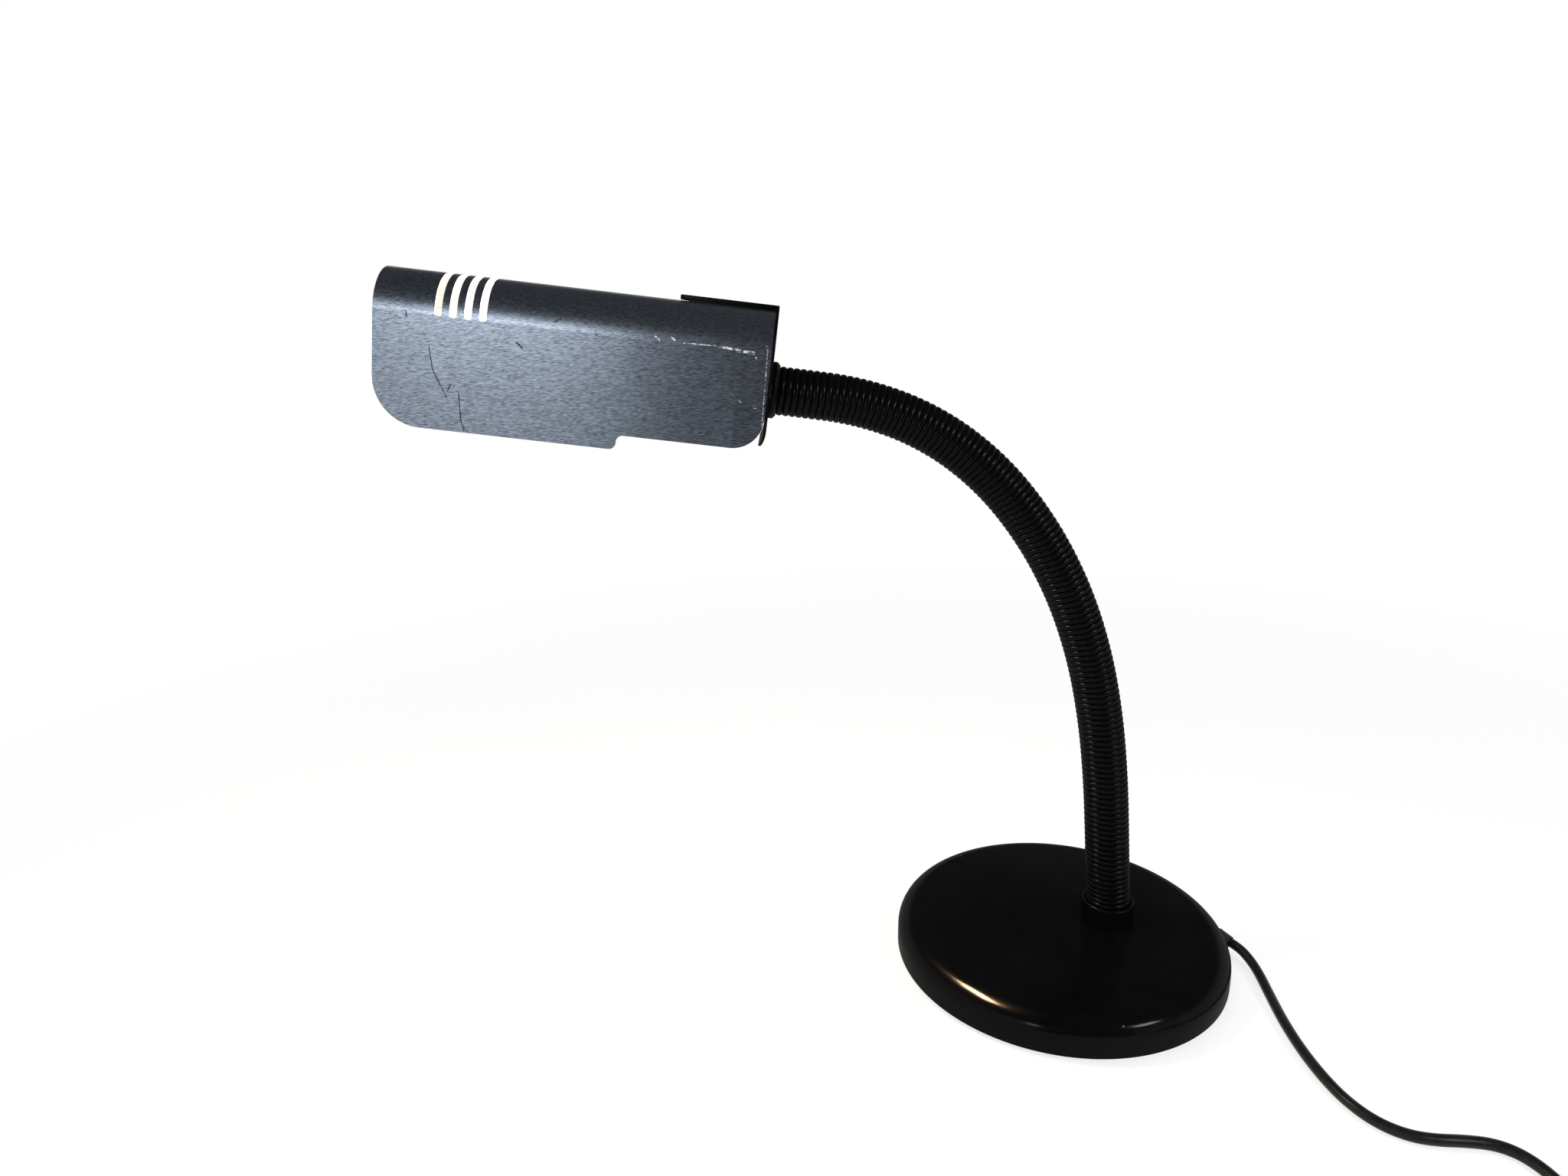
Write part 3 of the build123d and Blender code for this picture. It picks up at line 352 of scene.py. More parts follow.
class DeskLampColours(bpy.types.PropertyGroup):
    """Colours of the lamp's finishes and the strength of its bulb."""

    sheet: colour_setting("Sheet", "Colour of the shade's brushed metal", (0.128, 0.15, 0.184))
    plastic: colour_setting("Plastic", "Colour of the black mouldings", (0.0018, 0.0018, 0.0021))
    glow: colour_setting("Glow", "Colour of the lit bulb", (1.0, 0.82, 0.57))
    glow_strength: bpy.props.FloatProperty(
        name="Glow strength", description="Radiance of the lit bulb", default=160.0, min=0.0,
        max=200.0,
    )


# ---- outlines and meshes ----------------------------------------------------------------
def rounded(corners, steps=6):
    """The points of a closed outline of corners, each (x, y, radius), with arcs at them."""
    points = []
    for i, (x, y, radius) in enumerate(corners):
        here = Vector((x, y))
        if not radius:
            points.append(here)
            continue
        back = (Vector(corners[i - 1][:2]) - here).normalized()
        ahead = (Vector(corners[(i + 1) % len(corners)][:2]) - here).normalized()
        half = back.angle(ahead) / 2
        centre = here + (back + ahead).normalized() * radius / math.sin(half)
        first = here + back * radius / math.tan(half) - centre
        side = 1 if back.x * ahead.y - back.y * ahead.x < 0 else -1
        turn = side * (math.pi - 2 * half)
        points += [centre + Matrix.Rotation(turn * k / steps, 2) @ first for k in range(steps + 1)]
    return points


def arc(centre_r, centre_z, radius, start, end, steps=8):
    """Points (radius, height) of an arc of an outline that is spun, between two angles in
    degrees from straight out."""
    turns = [math.radians(start + (end - start) * k / steps) for k in range(steps + 1)]
    return [(centre_r + radius * math.cos(t), centre_z + radius * math.sin(t)) for t in turns]


def circle(radii):
    """The points of a closed outline round its centre, one at each of several radii."""
    turns = [math.tau * k / len(radii) for k in range(len(radii))]
    return [(r * math.cos(t), r * math.sin(t)) for r, t in zip(radii, turns)]


def shift(x, y=0.0, z=0.0):
    """The matrix that moves by a distance."""
    return Matrix.Translation((x, y, z))


def cut(bm, axis, at):
    """Cut a mesh along the plane where one of its coordinates has a value."""
    normal = [0, 0, 0]
    normal[axis] = 1
    geom = [*bm.verts, *bm.edges, *bm.faces]
    point = [at * share for share in normal]
    bmesh.ops.bisect_plane(bm, geom=geom, dist=CUT, plane_co=point, plane_no=normal)


def verts_of(geom):
    """The vertices among some geometry."""
    return [g for g in geom if isinstance(g, bmesh.types.BMVert)]


def loop_edges(bm, points):
    """A closed loop of edges through points, which lie at z = 0 where they have no height."""
    verts = [bm.verts.new((*p, 0)[:3]) for p in points]
    return [bm.edges.new((a, b)) for a, b in zip(verts, verts[1:] + verts[:1])]


def spun(outline, steps=96, closed=False):
    """A surface of revolution about Z of an outline of (radius, height)."""
    bm = bmesh.new()
    verts = [bm.verts.new((r, 0, z)) for r, z in outline]
    pairs = list(zip(verts, verts[1:])) + ([(verts[-1], verts[0])] if closed else [])
    edges = [bm.edges.new(pair) for pair in pairs]
    bmesh.ops.spin(
        bm, geom=verts + edges, axis=(0, 0, 1), cent=(0, 0, 0), angle=math.tau, steps=steps,
        use_merge=True,
    )
    bmesh.ops.remove_doubles(bm, verts=bm.verts, dist=WELD)
    bmesh.ops.recalc_face_normals(bm, faces=bm.faces)
    return bm


def station(point, ahead, radius):
    """The matrix that puts a unit circle square to a line. Its side is Y for a line in the
    lamp's plane of symmetry, and level for any other."""
    ahead = ahead.normalized()
    side = Vector((0, 1, 0))
    if abs(ahead.y) > IN_PLANE:
        side = Vector((0, 0, 1)).cross(ahead).normalized()
    across = side.cross(ahead)
    turn = Matrix((across, side, ahead)).transposed().to_4x4()
    return Matrix.Translation(point) @ turn @ Matrix.Scale(radius, 4)


def drawn(bm, ring, stations, closed=False):
    """A skin: a ring of edges that lies at the first station, drawn through the others. A
    closed skin ends on its first ring, and any other is capped at both ends."""
    if not closed:
        bmesh.ops.edgeloop_fill(bm, edges=ring)
    for before, after in zip(stations, stations[1:]):
        made = bmesh.ops.extrude_edge_only(bm, edges=ring)["geom"]
        verts = verts_of(made)
        ends = set(verts)
        ring = [g for g in made if isinstance(g, bmesh.types.BMEdge) and ends.issuperset(g.verts)]
        bmesh.ops.transform(bm, matrix=after @ before.inverted(), verts=verts)
    if closed:
        bmesh.ops.remove_doubles(bm, verts=bm.verts, dist=WELD)
    else:
        bmesh.ops.edgeloop_fill(bm, edges=ring)
    bmesh.ops.recalc_face_normals(bm, faces=bm.faces)
    return bm


def swept(stations, sides, closed=False):
    """A round skin drawn through stations."""
    bm = bmesh.new()
    bmesh.ops.create_circle(bm, segments=sides, radius=1.0, matrix=stations[0])
    return drawn(bm, list(bm.edges), stations, closed)


def bevelled(bm, offset, segments=2, near=0.0):
    """Round the sharp edges of a mesh, apart from those within a distance of its Z axis."""
    edges = [e for e in bm.edges if e.calc_face_angle(0) > SHARP]
    edges = [e for e in edges if not near or any(v.co.xy.length > near for v in e.verts)]
    bmesh.ops.bevel(
        bm, geom=edges, offset=offset, affect="EDGES", segments=segments, profile=0.5, material=-1
    )


def slab(outline, thickness, bevel=0.0, segments=2, hole=()):
    """A plate of an outline in X and Y, from z = 0 upwards, with its outer edges rounded."""
    bm = bmesh.new()
    if hole:
        outer, inner = loop_edges(bm, outline), loop_edges(bm, hole)
        bmesh.ops.bridge_loops(bm, edges=outer + inner)
    else:
        bm.faces.new([bm.verts.new((*p, 0)) for p in outline])
    made = bmesh.ops.extrude_face_region(bm, geom=list(bm.faces), use_keep_orig=True)["geom"]
    bmesh.ops.translate(bm, vec=(0, 0, thickness), verts=verts_of(made))
    bmesh.ops.recalc_face_normals(bm, faces=bm.faces)
    if bevel:
        hole_r = max((Vector(p).length for p in hole), default=0)
        bevelled(bm, bevel, segments, hole_r * BESIDE_HOLE)
    return bm


def lofted(loops):
    """A closed shell through loops of points, each bridged to the next."""
    bm = bmesh.new()
    rings = [loop_edges(bm, points) for points in loops]
    for low, high in zip(rings, rings[1:]):
        bmesh.ops.bridge_loops(bm, edges=low + high)
    for end in (rings[0], rings[-1]):
        bmesh.ops.edgeloop_fill(bm, edges=end)
    bmesh.ops.recalc_face_normals(bm, faces=bm.faces)
    return bm


def box_outline(length, width, corner, centre=0.0, steps=6):
    """A rounded rectangle's points, its length along X."""
    x, y = length / 2, width / 2
    corners = ((-x, -y), (x, -y), (x, y), (-x, y))
    return rounded([(centre + u, v, corner) for u, v in corners], steps)


def moved(bm, matrix):
    """The same mesh, put in its place."""
    bmesh.ops.transform(bm, matrix=matrix, verts=bm.verts)
    return bm


def joined(*meshes):
    """Several meshes as one."""
    whole = bmesh.new()
    for bm in meshes:
        spare = bpy.data.meshes.new("spare")
        bm.to_mesh(spare)
        bm.free()
        whole.from_mesh(spare)
        bpy.data.meshes.remove(spare)
    return whole


def shown(name, bm, finish):
    """Put a mesh into the scene as an object with a finish."""
    mesh = bpy.data.meshes.new(name)
    bm.to_mesh(mesh)
    bm.free()
    mesh.materials.append(finish)
    obj = bpy.data.objects.new(name, mesh)
    bpy.context.scene.collection.objects.link(obj)
    return obj


def piece(name, bm, finish, body, slot, replaced=None, sharp=35.0):
    """Make a mesh one of the lamp's pieces: finished, riding on a body, and standing for the
    nodes that it replaces, which are the one that it is named for when none are given."""
    obj = shown(name, bm, FINISHES[finish])
    obj.data.shade_smooth()
    obj.data.set_sharp_from_angle(angle=math.radians(sharp))
    if body:
        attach(obj, body)
    if replaced is None:
        replaced = [slot]
    if replaced:
        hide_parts(*replaced)
    return obj


# ---- finishes ---------------------------------------------------------------------------
class Nodes:
    """A node tree being made: short ways to add nodes, and to feed their sockets either a
    value or another node's output."""

    def __init__(self, tree):
        self.tree = tree

    def feed(self, node, values):
        for socket, value in values.items():
            if isinstance(value, bpy.types.NodeSocket):
                self.tree.links.new(value, node.inputs[socket])
            else:
                node.inputs[socket].default_value = value

    def add(self, kind, values=(), **settings):
        node = self.tree.nodes.new("ShaderNode" + kind)
        for key, value in settings.items():
            setattr(node, key, value)
        self.feed(node, dict(values))
        return node

    def place(self, scale=(1, 1, 1), turn=0.0):
        """Object coordinates, stretched and then turned about Y."""
        where = self.add("TexCoord").outputs["Object"]
        values = {"Vector": where, "Rotation": (0, turn, 0), "Scale": scale}
        return self.add("Mapping", values).outputs["Vector"]

    def noise(self, scale, detail=2.0, rough=0.5, where=None):
        values = {"Scale": scale, "Detail": detail, "Roughness": rough}
        return self.add("TexNoise", {"Vector": where or self.place(), **values}).outputs["Fac"]

    def ramp(self, source, low, high, start=0.0, end=1.0, **settings):
        """Map a value from low..high to start..end, clamped."""
        values = {"From Min": low, "From Max": high, "To Min": start, "To Max": end}
        return self.add("MapRange", {"Value": source, **values}, **settings).outputs["Result"]

    def math(self, operation, a, b):
        return self.add("Math", {0: a, 1: b}, operation=operation).outputs[0]

    def times(self, first, *others):
        for other in others:
            first = self.math("MULTIPLY", first, other)
        return first

    def vector(self, operation, *values):
        """The node of a calculation with vectors."""
        return self.add("VectorMath", dict(enumerate(values)), operation=operation)

    def blend(self, share, a, b):
        """A colour between two, each a colour or a socket."""
        a, b = ((*c[:3], 1.0) if isinstance(c, (tuple, list)) else c for c in (a, b))
        return self.add("Mix", {"Factor": share, 6: a, 7: b}, data_type="RGBA").outputs[2]

    def bump(self, source, distance, strength=1.0):
        values = {"Strength": strength, "Distance": distance, "Height": source}
        return self.add("Bump", values).outputs["Normal"]


class Finish(Nodes):
    """A material being made, with its shader."""

    def __init__(self, name, colour, roughness, metallic=0.0, **sockets):
        self.material = bpy.data.materials.new(name)
        self.material.use_nodes = True
        super().__init__(self.material.node_tree)
        self.shader = self.tree.nodes["Principled BSDF"]
        self.drive(Base_Color=(*colour, 1.0), Roughness=roughness, Metallic=metallic, **sockets)

    def drive(self, **sources):
        """Feed the shader's sockets. Gives the material."""
        self.feed(self.shader, {k.replace("_", " "): v for k, v in sources.items()})
        return self.material


def shade_of(colour, factor):
    """The same colour, lighter or darker."""
    return tuple(min(1.0, c * factor) for c in colour)


def coated(name, colour, rough, weight, coat_rough):
    """A deep black body under a thin coat, which gives all of its gloss."""
    gloss = {"Specular_IOR_Level": 0.0, "Coat_Weight": weight, "Coat_Roughness": coat_rough}
    return Finish(name, colour, rough, **gloss)


def semi_gloss_moulding(colour):
    """The base's polished black plastic, with a few dust specks and faint wipe marks."""
    f = coated("semi_gloss_moulding", colour, 0.5, 0.115, 0.15)
    cells = f.add("TexVoronoi", {"Vector": f.place(), "Scale": 95.0, "Randomness": 1.0})
    near = f.ramp(cells.outputs["Distance"], 0.035, 0.055, 1.0, 0.0)
    rare = f.ramp(f.noise(38.0, 0.0), 0.66, 0.68)
    wiped = f.ramp(f.noise(26.0, 5.0, 0.62), 0.35, 0.75)
    tint = f.blend(wiped, shade_of(colour, 0.8), shade_of(colour, 1.6))
    tint = f.blend(f.times(near, rare), tint, (0.09, 0.085, 0.07))
    skin = f.bump(f.noise(900.0), 0.02 * MM, 0.25)
    return f.drive(Base_Color=tint, Normal=skin, Coat_Normal=skin)


def ribbed_vinyl(colour):
    """The neck's black sleeve: softly glossy, with a little dull dust."""
    f = coated("ribbed_vinyl", colour, 0.5, 0.12, 0.24)
    dust = f.ramp(f.noise(420.0, 6.0, 0.7), 0.62, 0.8, 0.0, 0.3)
    tint = f.blend(dust, colour, shade_of(colour, 4.0))
    skin = f.bump(f.noise(1500.0), 0.02 * MM, 0.35)
    return f.drive(Base_Color=tint, Normal=skin, Coat_Normal=skin)


def fine_moulding(colour, name="fine_moulding", rough=0.42):
    """Black plastic or enamel with a fine even texture."""
    f = coated(name, colour, rough, 0.12, rough - 0.1)
    grain = f.noise(1800.0, 3.0, 0.6)
    tint = f.blend(f.ramp(grain, 0.35, 0.75), shade_of(colour, 0.85), shade_of(colour, 1.35))
    skin = f.bump(grain, 0.03 * MM, 0.4)
    return f.drive(Base_Color=tint, Normal=skin, Coat_Normal=skin)


def scratch(f, where, start, end, width):
    """How much a thin scratch covers a point, from the distance to its line. The line is in
    the head's own X and Z, in millimetres."""
    a, b = (Vector((x, 0, z)) * MM for x, z in (start, end))
    to_point = f.vector("SUBTRACT", where, a).outputs[0]
    along = f.vector("DOT_PRODUCT", to_point, (b - a) / (b - a).length_squared)
    foot = f.vector("SCALE", b - a)
    f.feed(foot, {"Scale": f.ramp(along.outputs["Value"], 0.0, 1.0)})
    off = f.vector("DISTANCE", to_point, foot.outputs[0])
    return f.ramp(off.outputs["Value"], width * 0.35 * MM, width * MM, 1.0, 0.0)


def covered(f, where, lines):
    """How much the nearest of several scratches covers a point."""
    share = 0.0
    for line in lines:
        share = f.math("MAXIMUM", share, scratch(f, where, *line))
    return share


# the dark scratches on the shade's side, in the head's X and Z, and their widths
SCRATCHES = (
    ((150.4, 4.3), (148.5, -6.0), 0.22), ((148.5, -6.0), (142.2, -17.0), 0.28),
    ((140.5, -11.7), (141.9, -14.6), 0.3), ((136.8, -15.0), (135.5, -26.7), 0.26),
    ((135.5, -26.7), (134.0, -31.3), 0.3), ((135.3, -28.0), (132.4, -31.6), 0.26),
    ((112.3, 9.8), (109.9, 7.8), 0.5), ((96.5, 20.4), (93.8, 22.0), 0.35),
    ((160.5, 18.0), (160.2, 15.3), 0.28), ((78.8, 19.3), (78.0, 17.1), 0.22),
)


# the pale scuffs where the sheet folds, in the same way
SCUFFS = (
    ((24.2, 18.2), (16.1, 17.5), 0.7), ((16.1, 17.5), (9.2, 17.0), 1.1),
    ((9.2, 17.4), (7.5, 14.6), 0.5), ((39.8, 17.9), (24.2, 18.3), 0.35),
    ((45.5, 19.8), (43.3, 18.1), 0.5), ((52.8, 19.7), (50.7, 17.9), 0.6),
    ((4.0, 21.0), (3.5, 17.8), 0.5), ((13.5, -4.0), (12.6, -4.6), 0.4),
    ((6.8, -6.1), (6.1, -6.7), 0.4), ((3.2, 20.0), (2.2, -14.0), 0.3),
)


def brushed_sheet(colour):
    """Dark anodised metal, brushed along the head, with scratches on its side and pale scuffs
    where it folds."""
    f = Finish("brushed_sheet", colour, 0.29, 0.95, Anisotropic=0.5, Anisotropic_Rotation=0.25)
    tangent = f.add("Tangent", direction_type="UV_MAP", uv_map=BLANK_MAP)
    f.drive(Tangent=tangent.outputs[0])
    fine = f.noise(1.0, 2.0, 0.5, f.place((480.0, 4200.0, 4200.0), HEAD_TILT))
    coarse = f.noise(1.0, 3.0, 0.6, f.place((90.0, 1100.0, 1100.0), HEAD_TILT))
    grain = f.math("ADD", f.times(fine, 0.94), f.times(coarse, 0.06))
    tint = f.blend(f.ramp(grain, 0.3, 0.7), shade_of(colour, 0.3), shade_of(colour, 1.7))
    cloudy = f.ramp(f.noise(22.0, 3.0), 0.35, 0.7, 0.0, 0.22)
    tint = f.blend(cloudy, tint, shade_of(colour, 0.8))

    head = head_coordinates(f)
    flat = f.vector("MULTIPLY", head, (1, 0, 1)).outputs[0]
    across = f.add("SeparateXYZ", {0: head}).outputs["Y"]
    near_side = f.ramp(across, 20.0 * MM, 24.0 * MM)
    broken = f.ramp(f.noise(900.0, 3.0), 0.35, 0.55, 0.25, 1.0)
    marks = f.times(covered(f, flat, SCRATCHES), near_side, broken)
    tint = f.blend(marks, tint, shade_of(colour, 0.12))
    flecks = f.noise(1.0, 4.0, 0.7, f.place((700.0, 1300.0, 1300.0), HEAD_TILT))
    scuffs = f.times(covered(f, flat, SCUFFS), near_side, f.ramp(flecks, 0.5, 0.56))
    tint = f.blend(scuffs, tint, (0.9, 0.92, 0.95))

    rough = f.ramp(grain, 0.3, 0.7, 0.28, 0.3)
    for share, more in ((marks, 0.25), (scuffs, 0.3)):
        rough = f.math("ADD", rough, f.times(share, more))
    return f.drive(Base_Color=tint, Roughness=rough, Normal=f.bump(marks, -0.08 * MM, 0.6))


def head_coordinates(f):
    """Object coordinates turned into the head's own frame."""
    inverse = HEAD.inverted()
    values = {"Location": inverse.translation, "Rotation": inverse.to_euler()}
    where = f.add("TexCoord").outputs["Object"]
    return f.add("Mapping", {"Vector": where, **values}).outputs["Vector"]


def grained(f, noise, dark, pale, span=(0.35, 0.7), rough=None, relief=None):
    """Give a surface a grain: its tint goes from dark to pale over a span of the noise. Its
    roughness may follow a ramp of the noise, and its relief has a depth and a strength."""
    grain = f.noise(*noise)
    look = {"Base_Color": f.blend(f.ramp(grain, *span), dark, pale)}
    if rough:
        look["Roughness"] = f.ramp(grain, *rough)
    if relief:
        look["Normal"] = f.bump(grain, *relief)
    return f.drive(**look)


def inner_sheet():
    """The shade's bare inside: grey satin metal, brushed like its outside."""
    f = Finish("inner_sheet", (0.19, 0.215, 0.25), 0.45, 0.3)
    lines = (1.0, 3.0, 0.6, f.place((120.0, 1800.0, 1800.0), HEAD_TILT))
    dark, pale = (0.17, 0.19, 0.22), (0.22, 0.245, 0.28)
    return grained(f, lines, dark, pale, (0.3, 0.7), (0.3, 0.7, 0.38, 0.52))


def machined(name, colour, rough=0.3):
    """Turned or pressed bright metal, such as a nut, pin or contact."""
    f = Finish(name, colour, rough, 1.0)
    dark, pale = shade_of(colour, 0.8), shade_of(colour, 1.08)
    worn = (0.3, 0.7, rough - 0.08, rough + 0.14)
    return grained(f, (300.0, 5.0, 0.65), dark, pale, rough=worn)


def rough_casting():
    """The iron weight's sand-cast skin."""
    f = Finish("rough_casting", (0.09, 0.085, 0.08), 0.75, 0.6)
    dark, pale = (0.06, 0.055, 0.05), (0.13, 0.12, 0.11)
    return grained(f, (420.0, 6.0, 0.7), dark, pale, relief=(0.3 * MM, 0.7))


def soft_rubber():
    """The foot pad's and strain relief's dull black rubber."""
    f = Finish("soft_rubber", (0.011, 0.011, 0.011), 0.62, Specular_IOR_Level=0.35)
    dark, pale = (0.008, 0.008, 0.008), (0.018, 0.018, 0.018)
    return grained(f, (1300.0, 4.0, 0.65), dark, pale, relief=(0.05 * MM, 0.5))


def cord_sheath():
    """The mains cord's smooth black plastic."""
    f = Finish("cord_sheath", (0.006, 0.006, 0.006), 0.4, Specular_IOR_Level=0.2)
    dark, pale = (0.0045, 0.0045, 0.0045), (0.01, 0.01, 0.0095)
    return grained(f, (260.0, 4.0, 0.6), dark, pale, (0.4, 0.75), (0.3, 0.75, 0.3, 0.46))


def pale_plastic():
    """Undyed plastic, as on the terminals and the lead inside the neck."""
    f = Finish("pale_plastic", (0.6, 0.59, 0.55), 0.45)
    return grained(f, (180.0, 3.0), (0.55, 0.54, 0.5), (0.65, 0.64, 0.6))


def lit_opal(colour, strength):
    """The bulb's opal glass, lit, its glow faintly clouded."""
    f = Finish("lit_opal", (0.9, 0.88, 0.84), 0.2, Emission_Strength=strength)
    cloud = f.ramp(f.noise(60.0), 0.3, 0.7)
    return f.drive(Emission_Color=f.blend(cloud, colour, shade_of(colour, 0.94)))


FINISHES = {}


def make_finishes():
    """Every finish of the lamp, by name."""
    colours = bpy.context.scene.desk_lamp_colours
    black = tuple(colours.plastic)
    FINISHES.update(
        moulding=semi_gloss_moulding(black),
        vinyl=ribbed_vinyl(black),
        cap=fine_moulding(black),
        holder=fine_moulding(shade_of(black, 1.6), "holder_moulding", 0.34),
        sheet=brushed_sheet(tuple(colours.sheet)),
        inside=inner_sheet(),
        cut_edge=machined("cut_edge", (0.5, 0.52, 0.55), 0.4),
        steel=machined("zinc_plated_steel", (0.5, 0.5, 0.5)),
        black_steel=machined("blackened_steel", (0.03, 0.03, 0.03), 0.35),
        brass=machined("brass", (0.62, 0.45, 0.19)),
        aluminium=machined("spun_aluminium", (0.62, 0.62, 0.62), 0.28),
        enamel=fine_moulding(black, "black_enamel", 0.36),
        iron=rough_casting(),
        rubber=soft_rubber(),
        sheath=cord_sheath(),
        pale=pale_plastic(),
        opal=lit_opal(tuple(colours.glow), colours.glow_strength),
    )


# ---- the head's frame -------------------------------------------------------------------
def head_matrix():
    """The head's frame: x from the rear plate to the free end and z up, from the frame's last
    neck joint and the switch's pivot."""
    to_switch = SWITCH_PIVOT - PIVOTS[-1]
    rise = math.atan2(SWITCH_Z, SWITCH_X + BALL_TO_PLATE)
    heading = math.atan2(to_switch.z, to_switch.x) + rise
    along = Vector((math.cos(heading), 0, math.sin(heading)))
    up = Vector((math.sin(heading), 0, -math.cos(heading)))
    turn = Matrix((along, Vector((0, -1, 0)), up)).transposed().to_4x4()
    return Matrix.Translation(PIVOTS[-1] + along * BALL_TO_PLATE) @ turn


HEAD = head_matrix()
HEAD_AHEAD = HEAD.to_3x3() @ Vector((1, 0, 0))
HEAD_TILT = math.atan2(HEAD_AHEAD.z, -HEAD_AHEAD.x)
LAID = Matrix.Rotation(math.pi / 2, 4, "Y")  # from the Z axis to the X axis
ACROSS = Matrix(((0, 0, 1, 0), (1, 0, 0, 0), (0, 1, 0, 0), (0, 0, 0, 1)))  # X, Y to Y, Z


# ---- the base's pieces ------------------------------------------------------------------
class DESKLAMP_OT_base(bpy.types.Operator):
    """Model the base's moulded cover and the collar that the neck stands in"""

    bl_idname = "desk_lamp.base"
    bl_label = "Base and collar"

    def execute(self, context):
        middle_r, round_z = BASE_R - COVER_ROUND, BASE_TOP - COVER_ROUND
        outline = [(0, BASE_TOP), (BASE_R * 0.5, BASE_TOP)]
        outline += arc(middle_r, round_z, COVER_ROUND, 90, 0, 20)
        outline += arc(BASE_R - LIP_ROUND, FOOT_H + LIP_ROUND, LIP_ROUND, 0, -90, 4)
        outline += [(BASE_R - COVER_WALL, FOOT_H)]
        outline += arc(middle_r, round_z, COVER_ROUND - COVER_WALL, 0, 90)
        outline += [(0, BASE_TOP - COVER_WALL)]
        piece("base_shell", spun(outline, COVER_SIDES), "moulding", "base", "base_cover")

        crest = context.scene.desk_lamp_sizes.rib_crest
        seat_r, gap_r, seat_z = crest - SEAT_LAP, crest + SEAT_GAP, COLLAR_TOP - SEAT_DEPTH
        bottom, (funnel, top) = COLLAR_LOW.z, (COLLAR_TOP - depth for depth in FUNNEL_DEPTHS)
        outline = [
            (seat_r, seat_z),
            (gap_r, seat_z),
            *arc(gap_r + SEAT_ROUND, COLLAR_TOP - SEAT_ROUND, SEAT_ROUND, 180, 90, 4),
            *arc(COLLAR_R - COLLAR_BEVEL, COLLAR_TOP - COLLAR_BEVEL, COLLAR_BEVEL, 90, 0, 6),
            (COLLAR_R, BASE_TOP + COLLAR_FOOT[1]),
            (COLLAR_R - COLLAR_FOOT[0], BASE_TOP),
            (COLLAR_STEM_R, BASE_TOP),
            (COLLAR_STEM_R, bottom),
            (BORE_R, bottom),
            (BORE_R, funnel),
            (seat_r, top),
        ]
        collar = moved(spun(outline, TURNED_SIDES, closed=True), shift(NECK_X))
        piece("collar", collar, "enamel", "base", "neck_collar")
        return {"FINISHED"}


# ---- the neck ---------------------------------------------------------------------------
def neck_spans():
    """For each of the neck's joints, where its stretch of the neck starts and ends, and which
    way it points there. A stretch runs from the middle of one link to the middle of the next."""
    ways = [(b - a).normalized() for a, b in zip(PIVOTS, PIVOTS[1:])]
    middles = [(a + b) / 2 for a, b in zip(PIVOTS, PIVOTS[1:])]
    foot = (Vector((NECK_X, 0, COLLAR_TOP - NECK_START)), Vector((0, 0, 1)))
    top = (HEAD @ Vector((-FLANGE_T, 0, 0)), HEAD_AHEAD)
    ends = [foot, *zip(middles, ways), top]
    return list(zip(ends, ends[1:]))


def along_span(span, share):
    """The point and the way ahead at a share of a stretch, on a cubic curve."""
    (start, way_in), (end, way_out) = span
    handle = (end - start).length / 3
    a, b, c, d = start, start + way_in * handle, end - way_out * handle, end
    t, u = share, 1 - share
    point = a * u**3 + b * 3 * u * u * t + c * 3 * u * t * t + d * t**3
    ahead = (b - a) * u * u + (c - b) * 2 * u * t + (d - c) * t * t
    return point, ahead


class DESKLAMP_OT_neck(bpy.types.Operator):
    """Model the ribbed neck, one stretch to each joint, and the lead inside it"""

    bl_idname = "desk_lamp.neck"
    bl_label = "Ribbed neck"

    def execute(self, context):
        sizes = context.scene.desk_lamp_sizes
        for i, (joint, span) in enumerate(zip(NECK_JOINTS, neck_spans())):
            bodies = (joint["parent"], joint["child"])
            (start, _), (end, _) = span
            if joint["name"] in BENT_FROM_ABOVE:
                bodies, start, end = bodies[::-1], end, start
            ribs = max(1, round((end - start).length / sizes.rib_pitch))
            steps = ribs * RIB_STEPS
            skin = []
            for k in range(steps + 1):
                crest = math.sin(math.pi * (k % RIB_STEPS) / RIB_STEPS) ** RIB_SHAPE
                radius = sizes.rib_crest - sizes.rib_depth * (1 - crest)
                skin.append(station(*along_span(span, k / steps), radius))
            back = [k / BORE_STEPS for k in range(BORE_STEPS, -1, -1)]
            bore = [station(*along_span(span, share), BORE_R) for share in back]
            sleeve = swept([*skin, *bore, skin[0]], NECK_SIDES, closed=True)
            nodes = [f"neck_link_{i:02d}"] if i else []
            name = f"neck_sleeve_{i + 1:02d}"
            obj = piece(name, sleeve, "vinyl", None, "neck_link_01", nodes, sharp=60.0)
            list(bodies)
            tuple(start)
            tuple(end)
            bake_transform(obj)

            line = [along_span(span, k / LEAD_STEPS) for k in range(LEAD_STEPS + 1)]
            if i == 0:
                line = lead_from_terminals() + line
            if i == len(NECK_JOINTS) - 1:
                line.append((HEAD @ Vector((LEAD_END_X, 0, 0)), HEAD_AHEAD))
            lead = swept([station(*at, LEAD_R) for at in line], LEAD_SIDES)
            nodes = ["inner_lead"] if i == 0 else []
            obj = piece(f"lead_{i + 1:02d}", lead, "pale", None, "inner_lead", nodes)
            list(bodies)
            tuple(start)
            tuple(end)
            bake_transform(obj)
        return {"FINISHED"}


